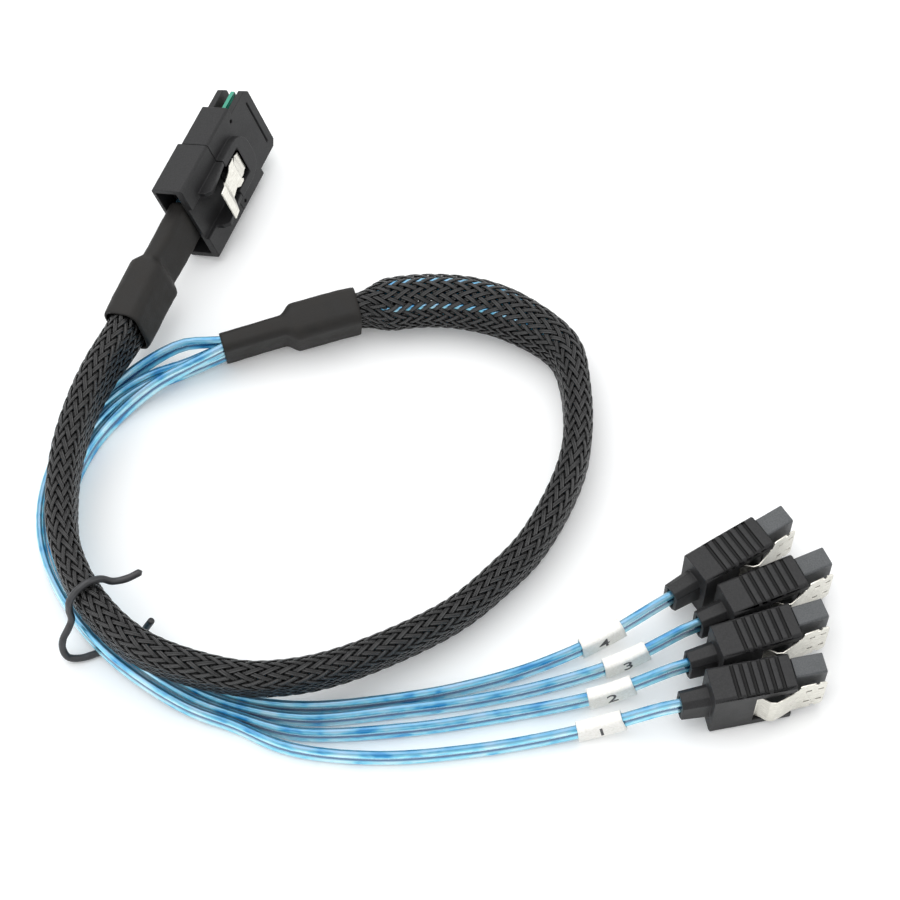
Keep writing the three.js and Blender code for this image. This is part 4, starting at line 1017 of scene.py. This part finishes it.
def twist_tie(diameter):
    """Coated wire once round the trunk and the cables, with a domed end and a cut end."""
    along = Vector((math.cos(TIE_HEADING), math.sin(TIE_HEADING), 0))
    out = Vector((math.sin(TIE_HEADING), -math.cos(TIE_HEADING), 0))
    start = Vector((*TIE_PLACE, 0))
    route = Route([start + along * f + out * o + Vector((0, 0, z)) for f, o, z in TIE_ROUTE])
    marks = evenly(0, route.length, 0.5)
    radius = diameter / MM / 2
    sides = 16
    normal = None
    verts = []
    for mark in marks:
        at, direction, side, _ = route.station(mark)
        normal = side if normal is None else (normal - direction * normal.dot(direction)).normalized()
        binormal = direction.cross(normal)
        size = radius
        if mark < radius:
            size = radius * math.sqrt(max(1 - (1 - mark / radius) ** 2, 0.02))
        if mark > route.length - 0.2:
            size = radius * 0.93
        size *= 1 + 0.02 * math.sin(mark * 2.1)
        for j in range(sides):
            angle = j * math.tau / sides
            verts.append(in_frame(at + normal * size * math.cos(angle) + binormal * size * math.sin(angle)))
    return new_object("twist_tie_wire", verts, tube_faces(len(marks), sides), finish_of("tie"))


def paddle_card():
    """The plug's circuit card, with gold fingers on both faces."""
    card = rounded_copy("paddle_card", "circuit_card", finish_of("board"), 0.04 * MM, 1)
    card.data.materials.append(finish_of("gold"))
    card.data.materials.append(finish_of("laminate"))
    inverse = plug_matrix().inverted()
    local = [inverse @ v.co for v in card.data.vertices]
    for polygon in card.data.polygons:
        centre = sum((local[v] for v in polygon.vertices), Vector()) / len(polygon.vertices)
        if abs(centre.z) > FINGER_FACE and centre.x > FINGERS_START:
            polygon.material_index = 1
        elif centre.x > CARD_FRONT and abs(centre.z) < CARD_EDGE:
            polygon.material_index = 2
    set_uv(card, "across", [(p.y * MM, p.x * MM) for p in local])
    return card


# Operators


class CABLE_OT_stage(bpy.types.Operator):
    """Table, lamps and the camera at the photograph's angle"""

    bl_idname = "breakout_cable.stage"
    bl_label = "Stage"

    def execute(self, context):
        settings = context.scene.breakout_stage
        target = SHIFT * MM
        back = Vector((0, -math.cos(settings.camera_height), math.sin(settings.camera_height)))
        camera = add_object("camera", bpy.data.cameras.new("camera"))
        camera.data.lens = settings.lens
        camera.data.sensor_width = 36
        camera.data.clip_start = 0.01
        camera.location = target + back * settings.camera_distance
        camera.rotation_mode = "QUATERNION"
        camera.rotation_quaternion = (-back).to_track_quat("-Z", "Y")
        context.scene.camera = camera

        corners = [(x * TABLE_REACH, y * TABLE_REACH, 0) for x, y in ((-1, -1), (1, -1), (1, 1), (-1, 1))]
        floor = new_object("table_top", corners, [(0, 1, 2, 3)], pale_table(), smooth=False)
        floor.location.z = -TABLE_GAP * MM

        lamps = (
            ("overhead", (-0.25, 0.25, 0.95), 1.3, 8.6),
            ("left_fill", (-0.9, -0.5, 0.6), 0.7, 2.6),
            ("right_fill", (0.9, -0.1, 0.5), 0.6, 1.7),
        )
        for name, place, size, power in lamps:
            lamp = bpy.data.lights.new(name, "AREA")
            lamp.shape = "SQUARE"
            lamp.size = size
            lamp.energy = power * settings.lamp_level
            holder = add_object(name, lamp)
            holder.location = place
            holder.rotation_mode = "QUATERNION"
            holder.rotation_quaternion = (-Vector(place)).to_track_quat("-Z", "Y")

        world = bpy.data.worlds.new("studio")
        world.use_nodes = True
        context.scene.world = world
        tree = world.node_tree
        background = tree.nodes["Background"]
        tree.links.new(lifted(tree, 0.62, 1.0), background.inputs["Strength"])
        background.inputs["Color"].default_value = (1, 1, 1, 1)
        context.scene.view_settings.view_transform = "Standard"
        return {"FINISHED"}


class CABLE_OT_flat_cables(bpy.types.Operator):
    """Four blue flat cables from the mini SAS plug to the SATA plugs, with their labels"""

    bl_idname = "breakout_cable.flat_cables"
    bl_label = "Flat cables"

    def execute(self, context):
        settings = context.scene.breakout_cords
        for index in range(CABLE_COUNT):
            number = index + 1
            cable, path = flat_cable(index, settings.ring_step / MM)
            tag = label(index)
            for piece, node, slot in (
                    (cable, f"flat_cable_{number}", "jacket"), (tag, f"cable_label_{number}", "paper")):
                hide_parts(node)
                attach(piece, BODY)
        return {"FINISHED"}


class CABLE_OT_trunk(bpy.types.Operator):
    """Braided sleeve, the two heat shrunk tubes on its ends and the twist tie"""

    bl_idname = "breakout_cable.trunk"
    bl_label = "Braided trunk"

    def execute(self, context):
        sleeve = braided_sleeve(context.scene.breakout_braid)
        plug_tube = shrink_tube(
            "plug_shrink", PLUG_SHRINK_START, PLUG_SHRINK_END,
            lambda mark: smoothstep(mark, PLUG_SHRINK_FOOT, PLUG_SHRINK_FOOT + SHRINK_STEP), 3.1)
        breakout = shrink_tube(
            "breakout_shrink", BREAKOUT_START, BREAKOUT_END,
            lambda mark: 1 - smoothstep(mark, BREAKOUT_FOOT - SHRINK_STEP, BREAKOUT_FOOT), 8.7)
        tie = twist_tie(context.scene.breakout_cords.tie_diameter)
        for piece, node, slot in (
                (sleeve, "braided_sleeve", "braid"), (plug_tube, "plug_shrink_tube", "shrink_tube"),
                (breakout, "breakout_shrink_tube", "shrink_tube"), (tie, "twist_tie", "tie")):
            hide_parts(node)
            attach(piece, BODY)
        return {"FINISHED"}


class CABLE_OT_mini_sas_plug(bpy.types.Operator):
    """The mini SAS plug: shell, housing, card, wire block and sprung latch"""

    bl_idname = "breakout_cable.mini_sas_plug"
    bl_label = "Mini SAS plug"

    def execute(self, context):
        settings = context.scene.breakout_plugs
        for node, name, finish, slot, width in (
                ("mini_sas_front_housing", "front_housing", "body", "plug_plastic", settings.edge_radius),
                ("mini_sas_rear_shell", "rear_shell", "body", "plug_plastic", settings.edge_radius),
                ("mini_sas_latch", "thumb_latch", "steel", "latch_steel", settings.steel_radius)):
            moved = closed_seam if node == "mini_sas_front_housing" else None
            piece = rounded_copy(node, name, finish_of(finish), width, moved=moved)
            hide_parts(node)
            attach(piece, "plug_latch" if node == "mini_sas_latch" else BODY)
        card = paddle_card()
        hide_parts("paddle_card")
        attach(card, BODY)
        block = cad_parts["wire_block"]
        block.data.materials.clear()
        block.data.materials.append(finish_of("glue"))
        return {"FINISHED"}


class CABLE_OT_sata_plugs(bpy.types.Operator):
    """The SATA plugs: overmould, nose, contacts and sprung latch"""

    bl_idname = "breakout_cable.sata_plugs"
    bl_label = "SATA plugs"

    def execute(self, context):
        settings = context.scene.breakout_plugs
        for number in range(1, CABLE_COUNT + 1):
            for part, finish, slot, width in (
                    ("body", "body", "plug_plastic", settings.edge_radius),
                    ("nose", "nose", "nose_plastic", settings.edge_radius * 0.7),
                    ("latch", "steel", "latch_steel", settings.steel_radius)):
                node = f"sata_{part}_{number}"
                piece = rounded_copy(node, f"sata_plug_{number}_{part}", finish_of(finish), width)
                # The body's grip groove floors get a darker finish, which is painted shade.
                if part == "body":
                    paint_grip_shade(piece, number - 1)
                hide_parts(node)
                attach(piece, f"sata_{number}_latch" if part == "latch" else BODY)
            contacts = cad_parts[f"sata_contacts_{number}"]
            contacts.data.materials.clear()
            contacts.data.materials.append(finish_of("gold"))
        return {"FINISHED"}


class CABLE_PT_panel(bpy.types.Panel):
    """Sizes and building steps of the breakout cable"""

    bl_label = "Breakout Cable"
    bl_idname = "CABLE_PT_panel"
    bl_space_type = "VIEW_3D"
    bl_region_type = "UI"
    bl_category = "Breakout Cable"

    def draw(self, context):
        layout = self.layout
        for name in SETTINGS:
            group = getattr(context.scene, name)
            box = layout.box()
            for field in group.bl_rna.properties:
                if field.identifier not in ("rna_type", "name"):
                    box.prop(group, field.identifier)
        for operator in OPERATORS:
            layout.operator(operator.bl_idname)


SETTINGS = {
    "breakout_braid": BraidSettings,
    "breakout_cords": CordSettings,
    "breakout_plugs": PlugSettings,
    "breakout_stage": StageSettings,
}
OPERATORS = (
    CABLE_OT_stage, CABLE_OT_mini_sas_plug, CABLE_OT_sata_plugs, CABLE_OT_flat_cables, CABLE_OT_trunk,
)


def register():
    for group in SETTINGS.values():
        bpy.utils.register_class(group)
    for operator in (*OPERATORS, CABLE_PT_panel):
        bpy.utils.register_class(operator)
    for name, group in SETTINGS.items():
        setattr(bpy.types.Scene, name, bpy.props.PointerProperty(type=group))


def unregister():
    for name in SETTINGS:
        delattr(bpy.types.Scene, name)
    for kind in (CABLE_PT_panel, *reversed(OPERATORS), *reversed(SETTINGS.values())):
        bpy.utils.unregister_class(kind)


def main():
    register()
    bpy.ops.breakout_cable.stage()
    bpy.ops.breakout_cable.mini_sas_plug()
    bpy.ops.breakout_cable.sata_plugs()
    bpy.ops.breakout_cable.flat_cables()
    bpy.ops.breakout_cable.trunk()


if __name__ == "__main__":
    main()
